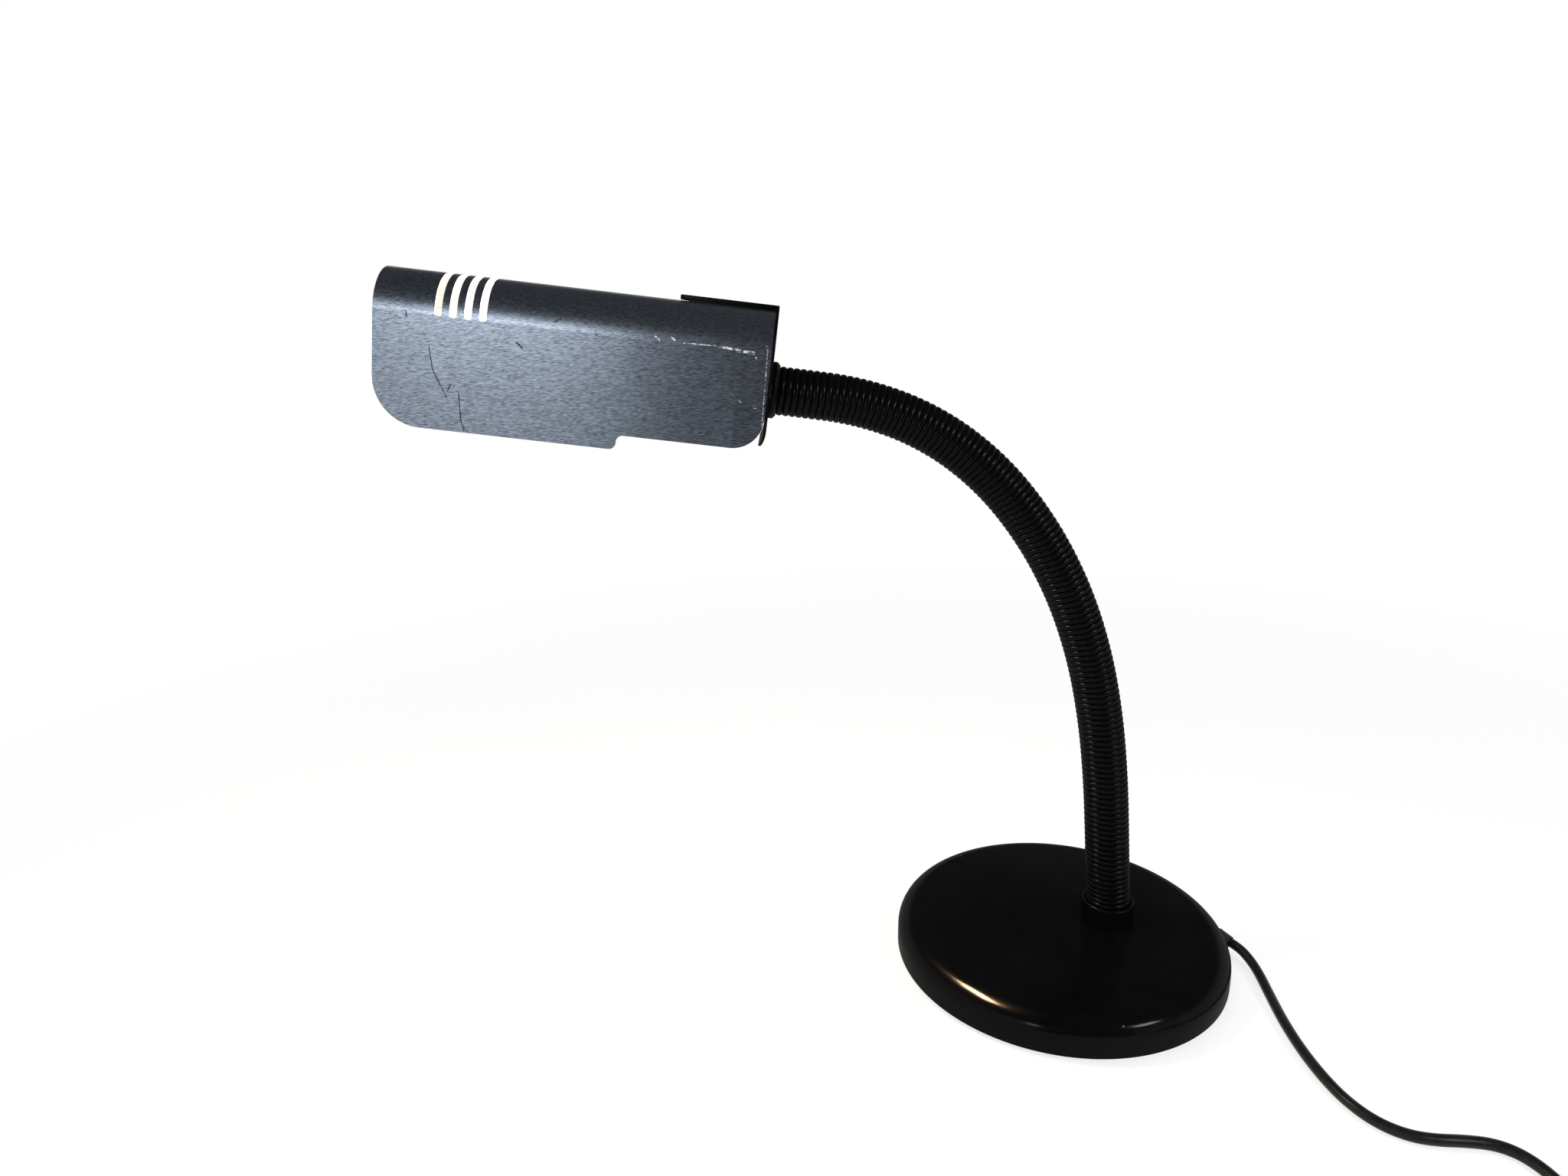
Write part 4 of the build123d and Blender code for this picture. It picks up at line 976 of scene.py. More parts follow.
def lead_from_terminals():
    """The lead's line inside the base: along from the terminals, and up into the collar."""
    line = [(Vector((TERMINAL_X, 0, LEAD_Z)), Vector((-1, 0, 0)))]
    centre = Vector((NECK_X + LEAD_BEND, 0, LEAD_Z + LEAD_BEND))
    for k in range(LEAD_BEND_STEPS + 1):
        turn = math.pi / 2 * k / LEAD_BEND_STEPS
        out = Vector((-math.sin(turn), 0, -math.cos(turn)))
        line.append((centre + out * LEAD_BEND, Vector((-math.cos(turn), 0, math.sin(turn)))))
    return line


# ---- the head's pieces ------------------------------------------------------------------
class DESKLAMP_OT_flange(bpy.types.Operator):
    """Model the round flange between the neck and the head's rear plate"""

    bl_idname = "desk_lamp.flange"
    bl_label = "Head flange"

    def execute(self, context):
        corners = (
            (BORE_R, -FLANGE_T, 0),
            (FLANGE_R - FLANGE_CHAMFER, -FLANGE_T, FLANGE_ROUND),
            (FLANGE_R, FLANGE_CHAMFER - FLANGE_T, FLANGE_ROUND),
            (FLANGE_R, 0, FLANGE_ROUND / 2),
            (HEAD_STEM_R, 0, 0),
            (HEAD_STEM_R, HEAD_STEM_END, HEAD_STEM_ROUND),
            (BORE_R, HEAD_STEM_END, 0),
        )
        flange = moved(spun(rounded(corners), TURNED_SIDES, closed=True), HEAD @ LAID)
        piece("head_flange", flange, "enamel", "head", "head_bush")
        return {"FINISHED"}


def arch(width, crown, fold, bottom, corner):
    """The head's cross-section in Y and Z, as points."""
    half = width / 2
    corners = (
        (half, bottom, corner),
        (half, crown, fold),
        (-half, crown, fold),
        (-half, bottom, corner),
    )
    return rounded(corners, ARCH_STEPS)


class DESKLAMP_OT_rear_cap(bpy.types.Operator):
    """Model the black rear plate with its spigot, and the tongue that holds the switch"""

    bl_idname = "desk_lamp.rear_cap"
    bl_label = "Rear cap"

    def execute(self, context):
        inset = context.scene.desk_lamp_sizes.sheet + SPIGOT_GAP
        cap = moved(joined(self.plate(), self.spigot(inset), *self.tongue()), HEAD)
        piece("rear_plate", cap, "cap", "head", "rear_cap")
        screws = moved(joined(*(self.screw(side) for side in (-1, 1))), HEAD)
        piece("cap_screws", screws, "black_steel", "head", "shade_screws")
        return {"FINISHED"}

    def plate(self):
        """The plate across the head, with its lower edge curled forward."""
        outline = arch(HEAD_WIDTH, CROWN_Z, FOLD_R, END_BOTTOM_Z, END_CORNER_R)
        bm = slab(outline, END_PLATE_T, END_PLATE_EDGE)
        drop = CURL_Z - END_BOTTOM_Z
        for k in range(CURL_STEPS):
            cut(bm, 1, CURL_Z - drop * k / CURL_STEPS)
        for v in bm.verts:
            v.co.z += CURL_REACH * (max(CURL_Z - v.co.y, 0) / drop) ** 2
        return moved(bm, ACROSS)

    def spigot(self, inset):
        """The rim inside the shade, along its crown and the upper part of its sides."""
        half = HEAD_WIDTH / 2 - inset
        crown, low = CROWN_Z - inset, SPIGOT_BOTTOM_Z
        corners = [(half, low, 0), (half, crown, FOLD_R - inset), (-half, crown, FOLD_R - inset)]
        corners.append((-half, low, 0))
        deeper = [(x - math.copysign(SPIGOT_T, x), min(y, crown - SPIGOT_T), r and r - SPIGOT_T)
                  for x, y, r in corners]
        outline = rounded(corners, ARCH_STEPS) + rounded(deeper, ARCH_STEPS)[::-1]
        rim = slab(outline, SPIGOT_DEPTH + LAP)
        return moved(rim, shift(END_PLATE_T - LAP) @ ACROSS)

    def tongue(self):
        """The band on the crown, with a hole for the switch and its free end just clear of the
        sheet, and the foot that joins it to the plate."""
        half = TONGUE_HALF_W
        corners = (
            (-SWITCH_X, -half, TONGUE_REAR_R),
            (TONGUE_LENGTH - SWITCH_X, -half, TONGUE_CORNER_R),
            (TONGUE_LENGTH - SWITCH_X, half, TONGUE_CORNER_R),
            (-SWITCH_X, half, TONGUE_REAR_R),
        )
        hole = box_outline(SWITCH_L + 2 * BEZEL_W, SWITCH_W + 2 * BEZEL_W, BEZEL_CORNER_R)
        thick = TONGUE_TOP_Z - CROWN_Z - TONGUE_UNDERCUT
        band = slab(rounded(corners), thick, TONGUE_EDGE, 3, hole)
        moved(band, shift(SWITCH_X, 0, CROWN_Z + TONGUE_UNDERCUT))
        length, width = TONGUE_LENGTH - TONGUE_UNDERCUT_L, 2 * (half - TONGUE_SEAT_GAP)
        outline = box_outline(length, width, TONGUE_SEAT_R, length / 2 - SWITCH_X)
        seat = slab(outline, TONGUE_UNDERCUT + TONGUE_EDGE, hole=hole)
        moved(seat, shift(SWITCH_X, 0, CROWN_Z))
        outline = box_outline(END_PLATE_T, width, END_PLATE_EDGE, END_PLATE_T / 2)
        foot = slab(outline, FOLD_R / 2 + TONGUE_UNDERCUT + TONGUE_EDGE)
        moved(foot, shift(TONGUE_SEAT_GAP, 0, CROWN_Z - FOLD_R / 2))
        return band, seat, foot

    def screw(self, side):
        """A raised countersunk screw with a cross slot, laid along the head."""
        arm, half = SCREW_CROSS
        cross = []
        for k in range(4):
            turn = Matrix.Rotation(math.pi / 2 * k, 2)
            cross += [turn @ Vector(p) for p in ((arm, -half), (arm, half), (half, half))]
        rim = circle([SCREW_HEAD_R] * SCREW_SIDES)
        head = slab(rim, SCREW_HEAD_T, SCREW_HEAD_T / 3, 3, cross)
        bmesh.ops.scale(head, vec=(1, 1, -1), verts=head.verts)
        bmesh.ops.recalc_face_normals(head, faces=head.faces)
        moved(head, shift(0, 0, SCREW_RISE))
        shank = spun([
            (0, SCREW_CONE_START),
            (SCREW_SHANK_R + SCREW_CONE_W, SCREW_CONE_START),
            (SCREW_SHANK_R, SCREW_CONE_END),
            (SCREW_SHANK_R, SCREW_L - SCREW_TIP),
            (SCREW_SHANK_R - SCREW_TIP, SCREW_L),
            (0, SCREW_L),
        ], SHANK_SIDES)
        return moved(joined(head, shank), shift(0, side * SCREW_Y, SCREW_Z) @ LAID)


def fold(bm):
    """Fold a flat blank, drawn with x along the head and y round it from the crown's middle,
    into the shade's arch."""
    crown_half = HEAD_WIDTH / 2 - FOLD_R
    quarter = FOLD_R * math.pi / 2
    for v in bm.verts:
        round_it = abs(v.co.y)
        side = math.copysign(1, v.co.y)
        bend = min(max(round_it - crown_half, 0), quarter) / FOLD_R
        out = min(round_it, crown_half) + FOLD_R * math.sin(bend)
        down = FOLD_R * (1 - math.cos(bend)) + max(round_it - crown_half - quarter, 0)
        v.co = (v.co.x, side * out, CROWN_Z - down)


def round_it_at(z):
    """How far round the blank, from the crown's middle, a height on the shade's side is."""
    return HEAD_WIDTH / 2 - FOLD_R + FOLD_R * math.pi / 2 + (CROWN_Z - FOLD_R) - z


class DESKLAMP_OT_shade(bpy.types.Operator):
    """Model the shade: cut the blank with its slots, fold it, and give it its thickness"""

    bl_idname = "desk_lamp.shade"
    bl_label = "Folded shade"

    def execute(self, context):
        sheet = context.scene.desk_lamp_sizes.sheet
        bm = self.blank()
        fold(bm)
        bmesh.ops.recalc_face_normals(bm, faces=bm.faces)
        crown = max(bm.faces, key=lambda face: face.calc_center_median().z)
        if crown.normal.z < 0:
            bmesh.ops.reverse_faces(bm, faces=bm.faces)
        moved(bm, HEAD)
        obj = piece("folded_shade", bm, "sheet", "head", "shade", sharp=30.0)
        obj.data.materials.append(FINISHES["inside"])
        obj.data.materials.append(FINISHES["cut_edge"])
        wall = obj.modifiers.new("Sheet", "SOLIDIFY")
        wall.thickness = sheet
        wall.offset = -1.0
        wall.material_offset = 1
        wall.material_offset_rim = 2
        edge = obj.modifiers.new("Edge", "BEVEL")
        edge.width = SHEET_EDGE
        edge.segments = 2
        edge.limit_method = "ANGLE"
        edge.angle_limit = SHEET_EDGE_TURN
        flat = obj.modifiers.new("Flat sides", "WEIGHTED_NORMAL")
        flat.keep_sharp = True

        tabs = []
        for side in (-1, 1):
            outline = box_outline(TAB_W, TAB_L, TAB_CORNER_R, TAB_Z)
            tab = slab([(y + TAB_L / 2, x) for x, y in outline], sheet, TAB_EDGE)
            place = shift(TAB_X, side * (HEAD_WIDTH / 2 - sheet / 2))
            tabs.append(moved(tab, place @ ACROSS @ Matrix.Diagonal((-side, 1, 1, 1))))
        tabs = moved(joined(*tabs), HEAD)
        bmesh.ops.recalc_face_normals(tabs, faces=tabs.faces)
        piece("shade_tabs", tabs, "inside", "head", "shade", ())
        return {"FINISHED"}

    def blank(self):
        """The flat blank with its slots and the switch's hole, cut along the lines where it
        folds and where the slots and the hole end."""
        rear, step = round_it_at(STEP_BOTTOM_Z), round_it_at(SIDE_BOTTOM_Z)
        one_side = (
            (END_PLATE_T, rear, REAR_CORNER_R),
            (STEP_X, rear, STEP_ROUND),
            (STEP_X, step, STEP_ROUND),
            (HEAD_LENGTH, step, FREE_CORNER_R),
        )
        other_side = [(x, -y, r) for x, y, r in reversed(one_side)]
        bm = bmesh.new()
        loop_edges(bm, rounded([*one_side, *other_side], 10))
        reach = round_it_at(SLOT_BOTTOM_Z)
        lines_x = []
        for k in range(SLOTS):
            x = SLOT_FIRST_X - k * SLOT_PITCH
            lines_x += [x - SLOT_W / 2, x + SLOT_W / 2]
            loop_edges(bm, box_outline(SLOT_W, 2 * reach, SLOT_CORNER, x, 4))
        hole_x, hole_y = SWITCH_L / 2 + SWITCH_HOLE_GAP, SWITCH_W / 2 + SWITCH_HOLE_GAP
        loop_edges(bm, box_outline(2 * hole_x, 2 * hole_y, 0, SWITCH_X))
        bmesh.ops.triangle_fill(bm, use_beauty=True, edges=bm.edges)

        crown_half, quarter = HEAD_WIDTH / 2 - FOLD_R, FOLD_R * math.pi / 2
        lines_y = [crown_half + quarter * k / FOLD_STEPS for k in range(FOLD_STEPS + 1)]
        lines_y += [reach - SLOT_CORNER, hole_y]
        lines_y += [-y for y in lines_y] + [0.0]
        lines_x += [SWITCH_X - hole_x, SWITCH_X + hole_x]
        for axis, lines in enumerate((lines_x, lines_y)):
            for at in lines:
                cut(bm, axis, at)

        def on_a_line(edge, axis, lines):
            a, b = (v.co[axis] for v in edge.verts)
            return abs(a - b) < WELD and any(abs(a - at) < WELD for at in lines)

        stray = [e for e in bm.edges if not e.is_boundary
                 and not on_a_line(e, 0, lines_x) and not on_a_line(e, 1, lines_y)]
        bmesh.ops.dissolve_edges(bm, edges=stray, use_verts=False)
        blank = bm.loops.layers.uv.new(BLANK_MAP)
        for face in bm.faces:
            for loop in face.loops:
                loop[blank].uv = loop.vert.co.xy / HEAD_LENGTH
        return bm


class DESKLAMP_OT_holder(bpy.types.Operator):
    """Model the lamp holder with its ring"""

    bl_idname = "desk_lamp.holder"
    bl_label = "Lamp holder"

    def execute(self, context):
        stem_r, corner, edge = HEAD_STEM_R + HOLDER_STEM_GAP, HOLDER_FOOT_ROUND, HOLDER_END_ROUND
        shoulder_z = HOLDER_START + HOLDER_SHOULDER_L
        outline = [
            (HOLDER_THROAT_R, BULB_START),
            (stem_r, BULB_START - HOLDER_THROAT_DEPTH),
            (stem_r, HOLDER_START),
            *arc(HOLDER_FOOT_R - corner, HOLDER_START + corner, corner, -90, 0, 3),
            (HOLDER_FOOT_R, HOLDER_START + HOLDER_FOOT_L),
            *arc(HOLDER_R - HOLDER_SHOULDER_R, shoulder_z, HOLDER_SHOULDER_R, -50, 0, 4),
        ]
        low_r = HOLDER_R - HOLDER_GROOVE_DEPTH
        for k in range(HOLDER_GROOVES):
            z = HOLDER_START + HOLDER_GROOVE_START + HOLDER_GROOVE_PITCH * k
            outline += [(HOLDER_R, z), (low_r, z + HOLDER_GROOVE_DEPTH)]
            z += HOLDER_GROOVE_W
            outline += [(low_r, z), (HOLDER_R, z + HOLDER_GROOVE_DEPTH)]
        outline += arc(HOLDER_R - edge, HOLDER_END - edge, edge, 0, 90, 4)
        outline += [(HOLDER_THROAT_R, HOLDER_END)]
        holder = moved(spun(outline, HOLDER_SIDES, closed=True), HEAD @ LAID)
        piece("bulb_holder", holder, "holder", "head", "lamp_holder")

        outline = circle([RING_R - RING_FLUTE, RING_R, RING_R, RING_R] * RING_FLUTES)
        ring = moved(slab(outline, RING_L, RING_EDGE), HEAD @ LAID @ shift(0, 0, RING_START))
        piece("ring_nut", ring, "holder", "head", "holder_ring")
        return {"FINISHED"}


class DESKLAMP_OT_bulb(bpy.types.Operator):
    """Model the lit ball bulb"""

    bl_idname = "desk_lamp.bulb"
    bl_label = "Bulb"

    def execute(self, context):
        throat = enumerate(BULB_THROAT, -1)
        outline = [(BULB_CAP_R + BULB_FLARE * k, BULB_CAP_END + z) for k, z in throat]
        outline += arc(0, BULB_TIP - BULB_R, BULB_R, BULB_NECK_TURN, 90, 24)
        bulb = moved(spun(outline, HOLDER_SIDES), HEAD @ LAID)
        piece("lit_bulb", bulb, "opal", "head", "bulb_glass")
        return {"FINISHED"}


class DESKLAMP_OT_switch(bpy.types.Operator):
    """Model the rocker switch: its body with a bezel, and the rocker"""

    bl_idname = "desk_lamp.switch"
    bl_label = "Rocker switch"

    def execute(self, context):
        body = box_outline(SWITCH_L, SWITCH_W, SWITCH_CORNER_R)
        rim = box_outline(SWITCH_L + 2 * BEZEL_W, SWITCH_W + 2 * BEZEL_W, BEZEL_CORNER_R)
        length, width = ROCKER_L + 2 * WELL_GAP_X, ROCKER_W + 2 * WELL_GAP_Y
        well = box_outline(length, width, SWITCH_CORNER_R)
        levels = (
            (body, -SWITCH_DEPTH),
            (body, -BEZEL_T),
            (rim, -BEZEL_T),
            (rim, 0.0),
            (well, 0.0),
            (well, SWITCH_FLOOR - SWITCH_DEPTH),
        )
        case = lofted([[(x, y, z) for x, y in outline] for outline, z in levels])
        bevelled(case, SWITCH_EDGE)
        moved(case, HEAD @ shift(SWITCH_X, 0, TONGUE_TOP_Z))
        piece("switch_case", case, "cap", "head", "switch_body")

        half = ROCKER_L / 2
        end_x, end_z = half - ROCKER_END_TAPER, ROCKER_RISE - ROCKER_END_DEPTH
        points = [(half, ROCKER_RISE), (end_x, end_z), (0, ROCKER_RISE - ROCKER_DEPTH)]
        points += [(-end_x, end_z), (-half, ROCKER_RISE)]
        for k in range(1, ROCKER_STEPS):
            x = -half + ROCKER_L * k / ROCKER_STEPS
            points.append((x, ROCKER_RISE - ROCKER_DISH * (1 - (x / half) ** 2)))
        key = slab(points, ROCKER_W, ROCKER_EDGE, 3)
        stand = Matrix(((1, 0, 0, 0), (0, 0, -1, 0), (0, 1, 0, 0), (0, 0, 0, 1)))
        tilt = Matrix.Rotation(ROCKER_TILT, 4, "Y")
        moved(key, stand @ shift(0, 0, -ROCKER_W / 2))
        moved(key, HEAD @ shift(SWITCH_X, 0, SWITCH_Z) @ tilt)
        piece("rocker_key", key, "holder", "rocker", "switch_rocker")
        return {"FINISHED"}


# ---- the cord and what is on it ---------------------------------------------------------
def nozzle_way():
    """The way that the cord leaves the base."""
    return Vector((math.cos(GLAND_TURN), math.sin(GLAND_TURN), GLAND_DROP)).normalized()


def coil_points():
    """The coil's turns, wound by a loop: each keeps its place in the bundle and shifts to the
    next one's at its end."""
    diameter = bpy.context.scene.desk_lamp_sizes.cord
    centre = Vector((COIL_X, COIL_Y, diameter * 1.5 + CORD_LIFT))
    last = (COIL_TURNS - 1) * TURN_POINTS + round(TURN_POINTS * COIL_EXIT / math.tau)
    points = []
    for k in range(last + 1):
        turn, part = divmod(k / TURN_POINTS, 1)
        here = COIL_CELLS[int(turn)]
        after = COIL_CELLS[min(int(turn) + 1, COIL_TURNS - 1)]
        drift = max(0.0, (part - DRIFT_START) / (1 - DRIFT_START))
        drift = drift * drift * (3 - 2 * drift)
        out, up = (a + (b - a) * drift for a, b in zip(here, after))
        angle = math.pi + math.tau * (turn + part)
        radius = COIL_TURN_R + out * diameter
        ring = Vector((radius * math.cos(angle), radius * math.sin(angle), up * diameter))
        points.append(centre + ring)
    return points


def plug_matrix():
    """The plug's frame: z from its cord towards its pins."""
    angle = math.pi + COIL_EXIT
    reach = COIL_TURN_R + PLUG_OUT
    point = Vector((COIL_X + reach * math.cos(angle), COIL_Y + reach * math.sin(angle), PLUG_Z))
    way = Vector((-math.sin(angle), math.cos(angle), 0))
    turn = Matrix((Vector((0, 0, 1)), way.cross(Vector((0, 0, 1))), way)).transposed().to_4x4()
    return Matrix.Translation(point + way * PLUG_LEAD) @ turn


class DESKLAMP_OT_cord(bpy.types.Operator):
    """Lay the mains cord, its strain relief, its coil and its plug"""

    bl_idname = "desk_lamp.cord"
    bl_label = "Mains cord"

    def execute(self, context):
        diameter = context.scene.desk_lamp_sizes.cord
        way = nozzle_way()
        tip = KNUCKLE + way * NOZZLE_L
        route = [tip, tip + way * FIRST_RUN]
        route += [Vector(p) * MM for p in CORD_ROUTE]
        entry_x = COIL_X - COIL_TURN_R - diameter
        route.append(Vector((entry_x, COIL_ENTRY_Y, diameter / 2 + CORD_LIFT)))
        route += coil_points()
        plug = plug_matrix()
        route += [plug @ Vector((0, 0, z)) for z in PLUG_LEAD_Z]

        line = bpy.data.curves.new("mains_lead", "CURVE")
        line.dimensions = "3D"
        line.bevel_depth = diameter / 2
        line.bevel_resolution = 5
        line.resolution_u = 10
        line.use_fill_caps = True
        spline = line.splines.new("NURBS")
        spline.points.add(len(route) - 1)
        for at, point in zip(spline.points, route):
            at.co = (*point, 1.0)
        spline.order_u = 3
        spline.use_endpoint_u = True
        line.materials.append(FINISHES["sheath"])
        lead = bpy.data.objects.new("mains_lead", line)
        context.scene.collection.objects.link(lead)
        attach(lead, "base")
        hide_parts("mains_cord", "cord_coil")

        relief = self.strain_relief(way)
        body, sleeves = self.plug(plug)
        return {"FINISHED"}

    def strain_relief(self, way):
        """A sleeve through the wall, a round knuckle and a short tapered nozzle."""
        out = Vector((1, 0, 0))
        radii = (GLAND_R - GLAND_STEP, GLAND_R - GLAND_STEP, GLAND_R)
        line = [(Vector((x, *KNUCKLE.yz)), out, r) for x, r in zip(GLAND_ENDS, radii)]
        for k in range(KNUCKLE_STEPS + 1):
            ahead = out.lerp(way, k / KNUCKLE_STEPS).normalized()
            line.append((KNUCKLE + (ahead - out) * KNUCKLE_SWING, ahead, GLAND_R))
        start, tip = line[-1][0], KNUCKLE + way * NOZZLE_L
        for k in range(1, NOZZLE_STEPS + 1):
            taper = GLAND_R + (NOZZLE_TIP_R - GLAND_R) * k / NOZZLE_STEPS
            line.append((start.lerp(tip, k / NOZZLE_STEPS), way, taper))
        line.append((tip, way, NOZZLE_TIP_R - NOZZLE_EDGE))
        relief = swept([station(*at) for at in line], GLAND_SIDES)
        return piece("strain_relief", relief, "rubber", "base", "cord_gland")

    def plug(self, place):
        """A flat two-pin plug: a grooved tail that widens into the grip."""
        sections = [*PLUG_START]
        for k in range(PLUG_GROOVES):
            for section in PLUG_GROOVE:
                sections.append([a + b * k for a, b in zip(section, PLUG_GROOVE_STEP)])
        sections += PLUG_GRIP
        stations = [shift(0, 0, z * MM) @ Matrix.Diagonal((half_t * MM, half_w * MM, 1, 1))
                    for z, half_t, half_w in sections]
        bm = bmesh.new()
        ring = loop_edges(bm, box_outline(2, 2, PLUG_ROUND, steps=7))
        moved(bm, stations[0])
        grip = moved(drawn(bm, ring, stations), place)
        body = piece("plug_grip", grip, "cap", "base", "plug_body")
        start, end, radius = PLUG_L - PIN_SLEEVE_LAP, PLUG_L + PIN_SLEEVE, PIN_R + PIN_SLEEVE_T
        outline = [(0, start), (radius, start), (radius, end), (PIN_R, end + PIN_SLEEVE_EDGE)]
        sleeves = [moved(spun(outline, PIN_SIDES), shift(0, side * PIN_GAP)) for side in (-1, 1)]
        sleeves = moved(joined(*sleeves), place)
        return body, piece("pin_sleeves", sleeves, "cap", "base", "plug_body", ())


# ---- finishes of the nodes that are shown as they are -----------------------------------
NODE_FINISHES = {
    "iron": ("base_weight",),
    "enamel": ("base_plate",),
    "rubber": ("foot_pad",),
    "steel": (
        "base_screws", "collar_washer", "collar_nut", "clamp_screws", "bush_nut", "shade_nuts",
        "plug_pins",
    ),
    "pale": ("terminal_block",),
    "brass": ("terminal_screws", "holder_shell", "centre_contact", "switch_terminals"),
    "cap": ("clamp_saddle", "clamp_bar", "cord_tie"),
    "aluminium": ("bulb_cap",),
    "sheath": ("cord_tail",),
}


class DESKLAMP_OT_nodes(bpy.types.Operator):
    """Give every node that is shown as it is its own finish"""

    bl_idname = "desk_lamp.nodes"
    bl_label = "Finish the plain nodes"

    def execute(self, context):
        for finish, nodes in NODE_FINISHES.items():
            for node in nodes:
                mesh = frame["nodes"][node].data
                mesh.materials.clear()
                mesh.materials.append(FINISHES[finish])
        return {"FINISHED"}


# ---- the studio -------------------------------------------------------------------------
CAMERA_AT = Vector((-148.182, -479.524, 338.091)) * MM
CAMERA_DOWN = math.radians(15.0566)
CAMERA_ROLL = math.radians(-0.82306)
CAMERA_LENS = 22.8516
CAMERA_SENSOR = 36.0
CAMERA_CLIP = 0.01
WHITE = (1.0, 1.0, 1.0)
WARM = (1.0, 0.67, 0.34)
# softboxes: name, place, what they face, width, height, radiance and colour
SOFTBOXES = (
    ("horizon_strip", (-0.68, -1.53, 0.61), (-0.23, 0.0, 0.32), 0.5, 0.24, 15.0, WHITE),
    ("window_softbox", (0.75, -0.72, 0.8), (0.02, -0.08, 0.02), 0.3, 0.14, 54.0, WHITE),
    ("top_softbox", (-0.2, 0.3, 1.7), (-0.1, 0.0, 0.0), 1.6, 1.4, 2.6, WHITE),
    ("bulb_spill", (-0.18, -0.035, 0.26), (-0.07, -0.06, 0.0), 0.15, 0.05, 36.0, WARM),
)
NOT_IN_GLOSS = ("top_softbox",)
ONLY_IN_GLOSS = ("bulb_spill",)
SPILL_SPREAD = math.radians(38.0)
# the black card behind the camera that darkens half of the shade: its two ends and its height
CARD_ENDS = ((-0.32, -0.68), (0.4, -0.68))
CARD_H = 0.95
CARD_GLOW = ((1.0, 0.93, 0.85, 1.0), 0.065)  # its faint glow's colour and strength
FLOOR_HALF = 40.0
# how much of the floor is its own white to camera and mirror rays: a distance from the lamp's
# middle and the share there, near and far
FLOOR_NEAR, FLOOR_FAR = (0.35, 0.75), (0.9, 1.0)
# the world's height and strength where the white horizon ends and where the ceiling begins
HORIZON, CEILING = (0.28, 1.0), (0.55, 0.11)


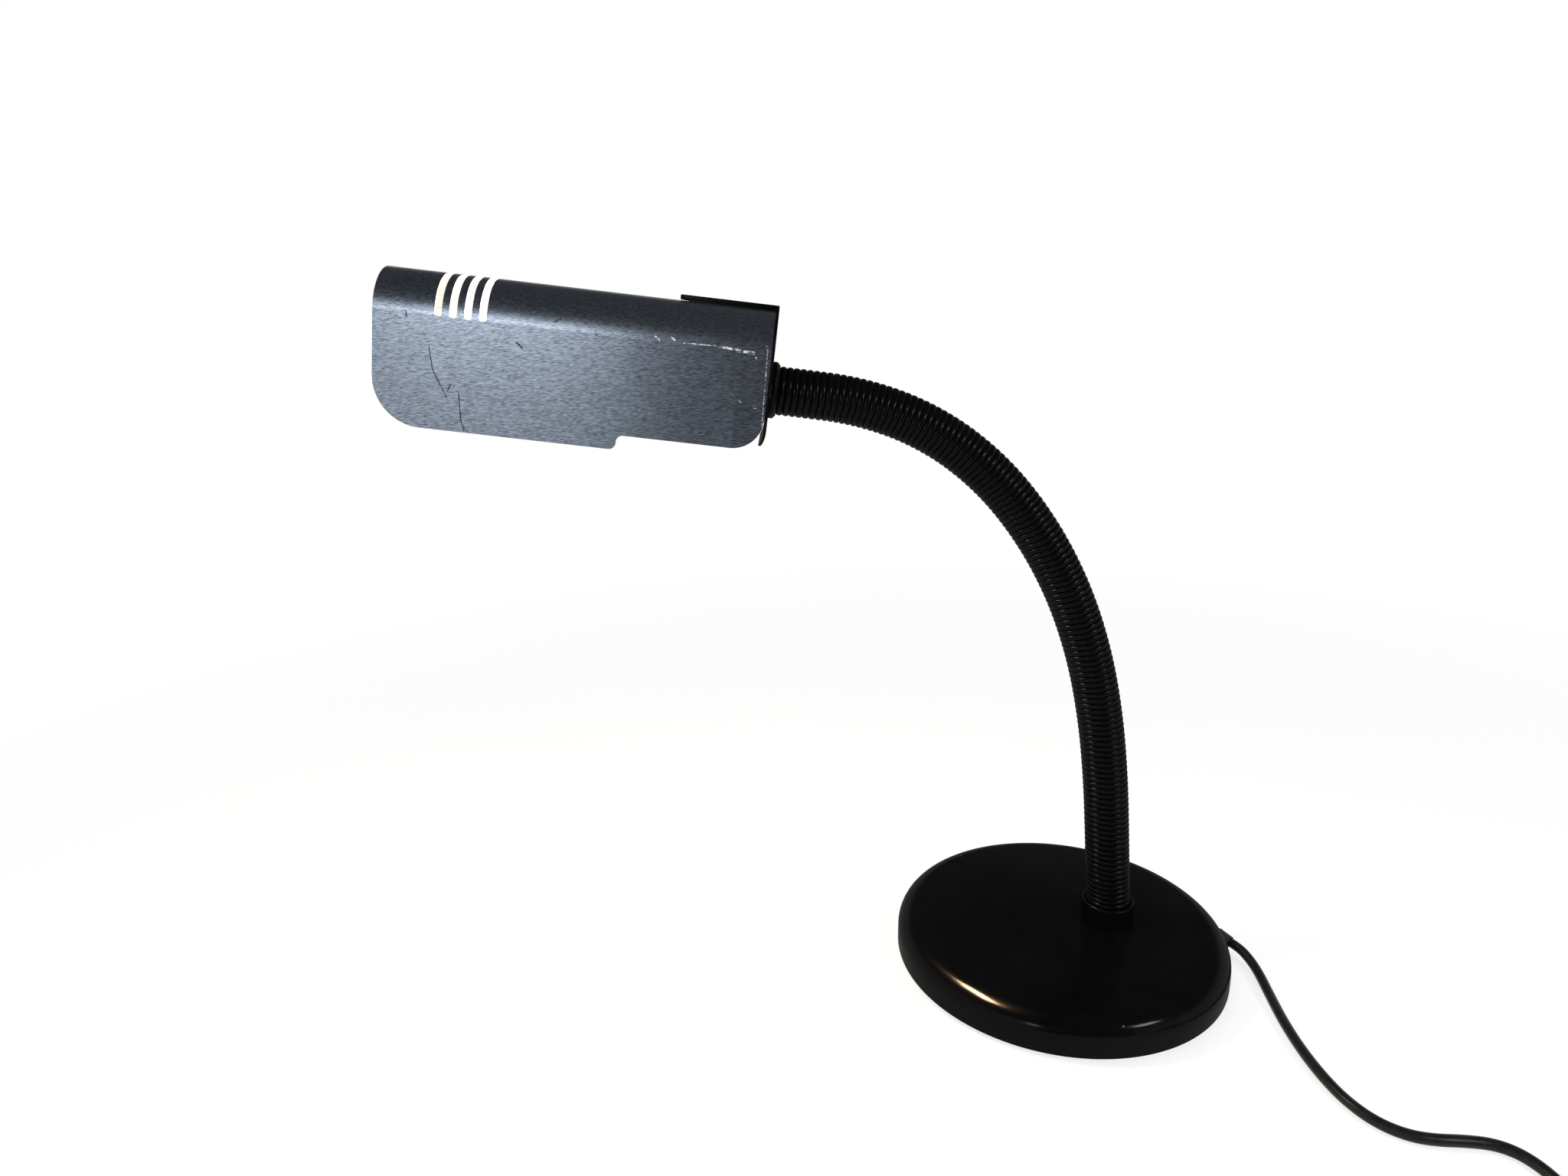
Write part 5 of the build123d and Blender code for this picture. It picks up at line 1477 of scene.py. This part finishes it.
class DESKLAMP_OT_stage(bpy.types.Operator):
    """Set up the pale floor, the soft lights, the surroundings and the camera"""

    bl_idname = "desk_lamp.stage"
    bl_label = "Studio"

    def execute(self, context):
        scene = context.scene
        scene.view_settings.view_transform = "Standard"
        self.floor()
        self.surroundings(scene)
        self.black_card()
        for name, place, target, width, height, radiance, colour in SOFTBOXES:
            light = bpy.data.lights.new(name, "AREA")
            light.shape = "RECTANGLE"
            light.size = width
            light.size_y = height
            light.energy = radiance * math.pi * width * height
            light.color = colour
            lamp = bpy.data.objects.new(name, light)
            facing = Vector(target) - Vector(place)
            lamp.location = place
            lamp.rotation_euler = facing.to_track_quat("-Z", "Y").to_euler()
            lamp.visible_camera = False
            lamp.visible_glossy = name not in NOT_IN_GLOSS
            if name in ONLY_IN_GLOSS:
                lamp.visible_diffuse = False
                light.spread = SPILL_SPREAD
            scene.collection.objects.link(lamp)
        self.camera(scene)
        return {"FINISHED"}

    def black_card(self):
        """A card that stands on the floor, seen only in reflections."""
        bm = bmesh.new()
        edge = bm.edges.new([bm.verts.new((x, y, 0)) for x, y in CARD_ENDS])
        made = bmesh.ops.extrude_edge_only(bm, edges=[edge])["geom"]
        bmesh.ops.translate(bm, vec=(0, 0, CARD_H), verts=verts_of(made))
        warmth = dict(zip(("Emission_Color", "Emission_Strength"), CARD_GLOW))
        f = Finish("black_card", (0.02, 0.02, 0.02), 0.9, Specular_IOR_Level=0.0, **warmth)
        card = shown("black_card", bm, f.material)
        card.visible_camera = False
        card.visible_diffuse = False
        card.visible_shadow = False

    def floor(self):
        """A floor that shows as white and still keeps the lamp's shadow."""
        bm = bmesh.new()
        bmesh.ops.create_grid(bm, x_segments=1, y_segments=1, size=FLOOR_HALF)
        f = Finish("pale_floor", (0.92, 0.92, 0.92), 0.9, Specular_IOR_Level=0.0)
        path = f.add("LightPath").outputs
        seen = f.math("MAXIMUM", path["Is Camera Ray"], path["Is Glossy Ray"])
        seen = f.math("MAXIMUM", seen, path["Is Transmission Ray"])
        away = f.vector("LENGTH", f.add("TexCoord").outputs["Object"]).outputs["Value"]
        (near, least), (far, most) = FLOOR_NEAR, FLOOR_FAR
        glow = f.add("Emission", {"Color": (1, 1, 1, 1), "Strength": 1.0}).outputs[0]
        share = f.times(seen, f.ramp(away, near, far, least, most))
        mix = f.add("MixShader", {0: share, 1: f.shader.outputs[0], 2: glow}).outputs[0]
        f.feed(f.tree.nodes["Material Output"], {"Surface": mix})
        floor = shown("floor", bm, f.material)

    def surroundings(self, scene):
        """A white horizon under a dim ceiling."""
        world = bpy.data.worlds.new("studio")
        world.use_nodes = True
        nodes = Nodes(world.node_tree)
        way = nodes.add("TexCoord").outputs["Generated"]
        height = nodes.add("SeparateXYZ", {0: way}).outputs["Z"]
        (low, bright), (high, dim) = HORIZON, CEILING
        lift = nodes.ramp(height, low, high, bright, dim, interpolation_type="SMOOTHSTEP")
        values = {"Color": (1, 1, 1, 1), "Strength": lift}
        nodes.feed(world.node_tree.nodes["Background"], values)
        scene.world = world

    def camera(self, scene):
        data = bpy.data.cameras.new("camera")
        data.lens = CAMERA_LENS
        data.sensor_width = CAMERA_SENSOR
        data.clip_start = CAMERA_CLIP
        ahead = Vector((0, math.cos(CAMERA_DOWN), -math.sin(CAMERA_DOWN)))
        right = Vector((1, 0, 0))
        up = right.cross(ahead)
        c, s = math.cos(CAMERA_ROLL), math.sin(CAMERA_ROLL)
        level, upright = right * c + up * s, up * c - right * s
        camera = bpy.data.objects.new("camera", data)
        turn = Matrix((level, upright, -ahead)).transposed().to_4x4()
        camera.matrix_world = Matrix.Translation(CAMERA_AT) @ turn
        scene.collection.objects.link(camera)
        scene.camera = camera


# ---- the add-on -------------------------------------------------------------------------
OPERATORS = (
    DESKLAMP_OT_stage,
    DESKLAMP_OT_cord,
    DESKLAMP_OT_base,
    DESKLAMP_OT_neck,
    DESKLAMP_OT_flange,
    DESKLAMP_OT_rear_cap,
    DESKLAMP_OT_shade,
    DESKLAMP_OT_holder,
    DESKLAMP_OT_bulb,
    DESKLAMP_OT_switch,
    DESKLAMP_OT_nodes,
)


class DESKLAMP_PT_panel(bpy.types.Panel):
    """Lists the lamp's sizes, colours and pieces"""

    bl_idname = "DESKLAMP_PT_panel"
    bl_label = "Desk Lamp"
    bl_space_type = "VIEW_3D"
    bl_region_type = "UI"
    bl_category = "Desk Lamp"

    def draw(self, context):
        for group in (context.scene.desk_lamp_sizes, context.scene.desk_lamp_colours):
            box = self.layout.box()
            for name in group.__annotations__:
                box.prop(group, name)
        for operator in OPERATORS:
            self.layout.operator(operator.bl_idname)


CLASSES = (DeskLampSizes, DeskLampColours, *OPERATORS, DESKLAMP_PT_panel)


def register():
    for cls in CLASSES:
        bpy.utils.register_class(cls)
    bpy.types.Scene.desk_lamp_sizes = bpy.props.PointerProperty(type=DeskLampSizes)
    bpy.types.Scene.desk_lamp_colours = bpy.props.PointerProperty(type=DeskLampColours)


def unregister():
    del bpy.types.Scene.desk_lamp_colours
    del bpy.types.Scene.desk_lamp_sizes
    for cls in reversed(CLASSES):
        bpy.utils.unregister_class(cls)


def main():
    """Make the whole lamp and its studio."""
    register()
    make_finishes()
    for operator in OPERATORS:
        group, name = operator.bl_idname.split(".")
        getattr(getattr(bpy.ops, group), name)()


if __name__ == "__main__":
    main()
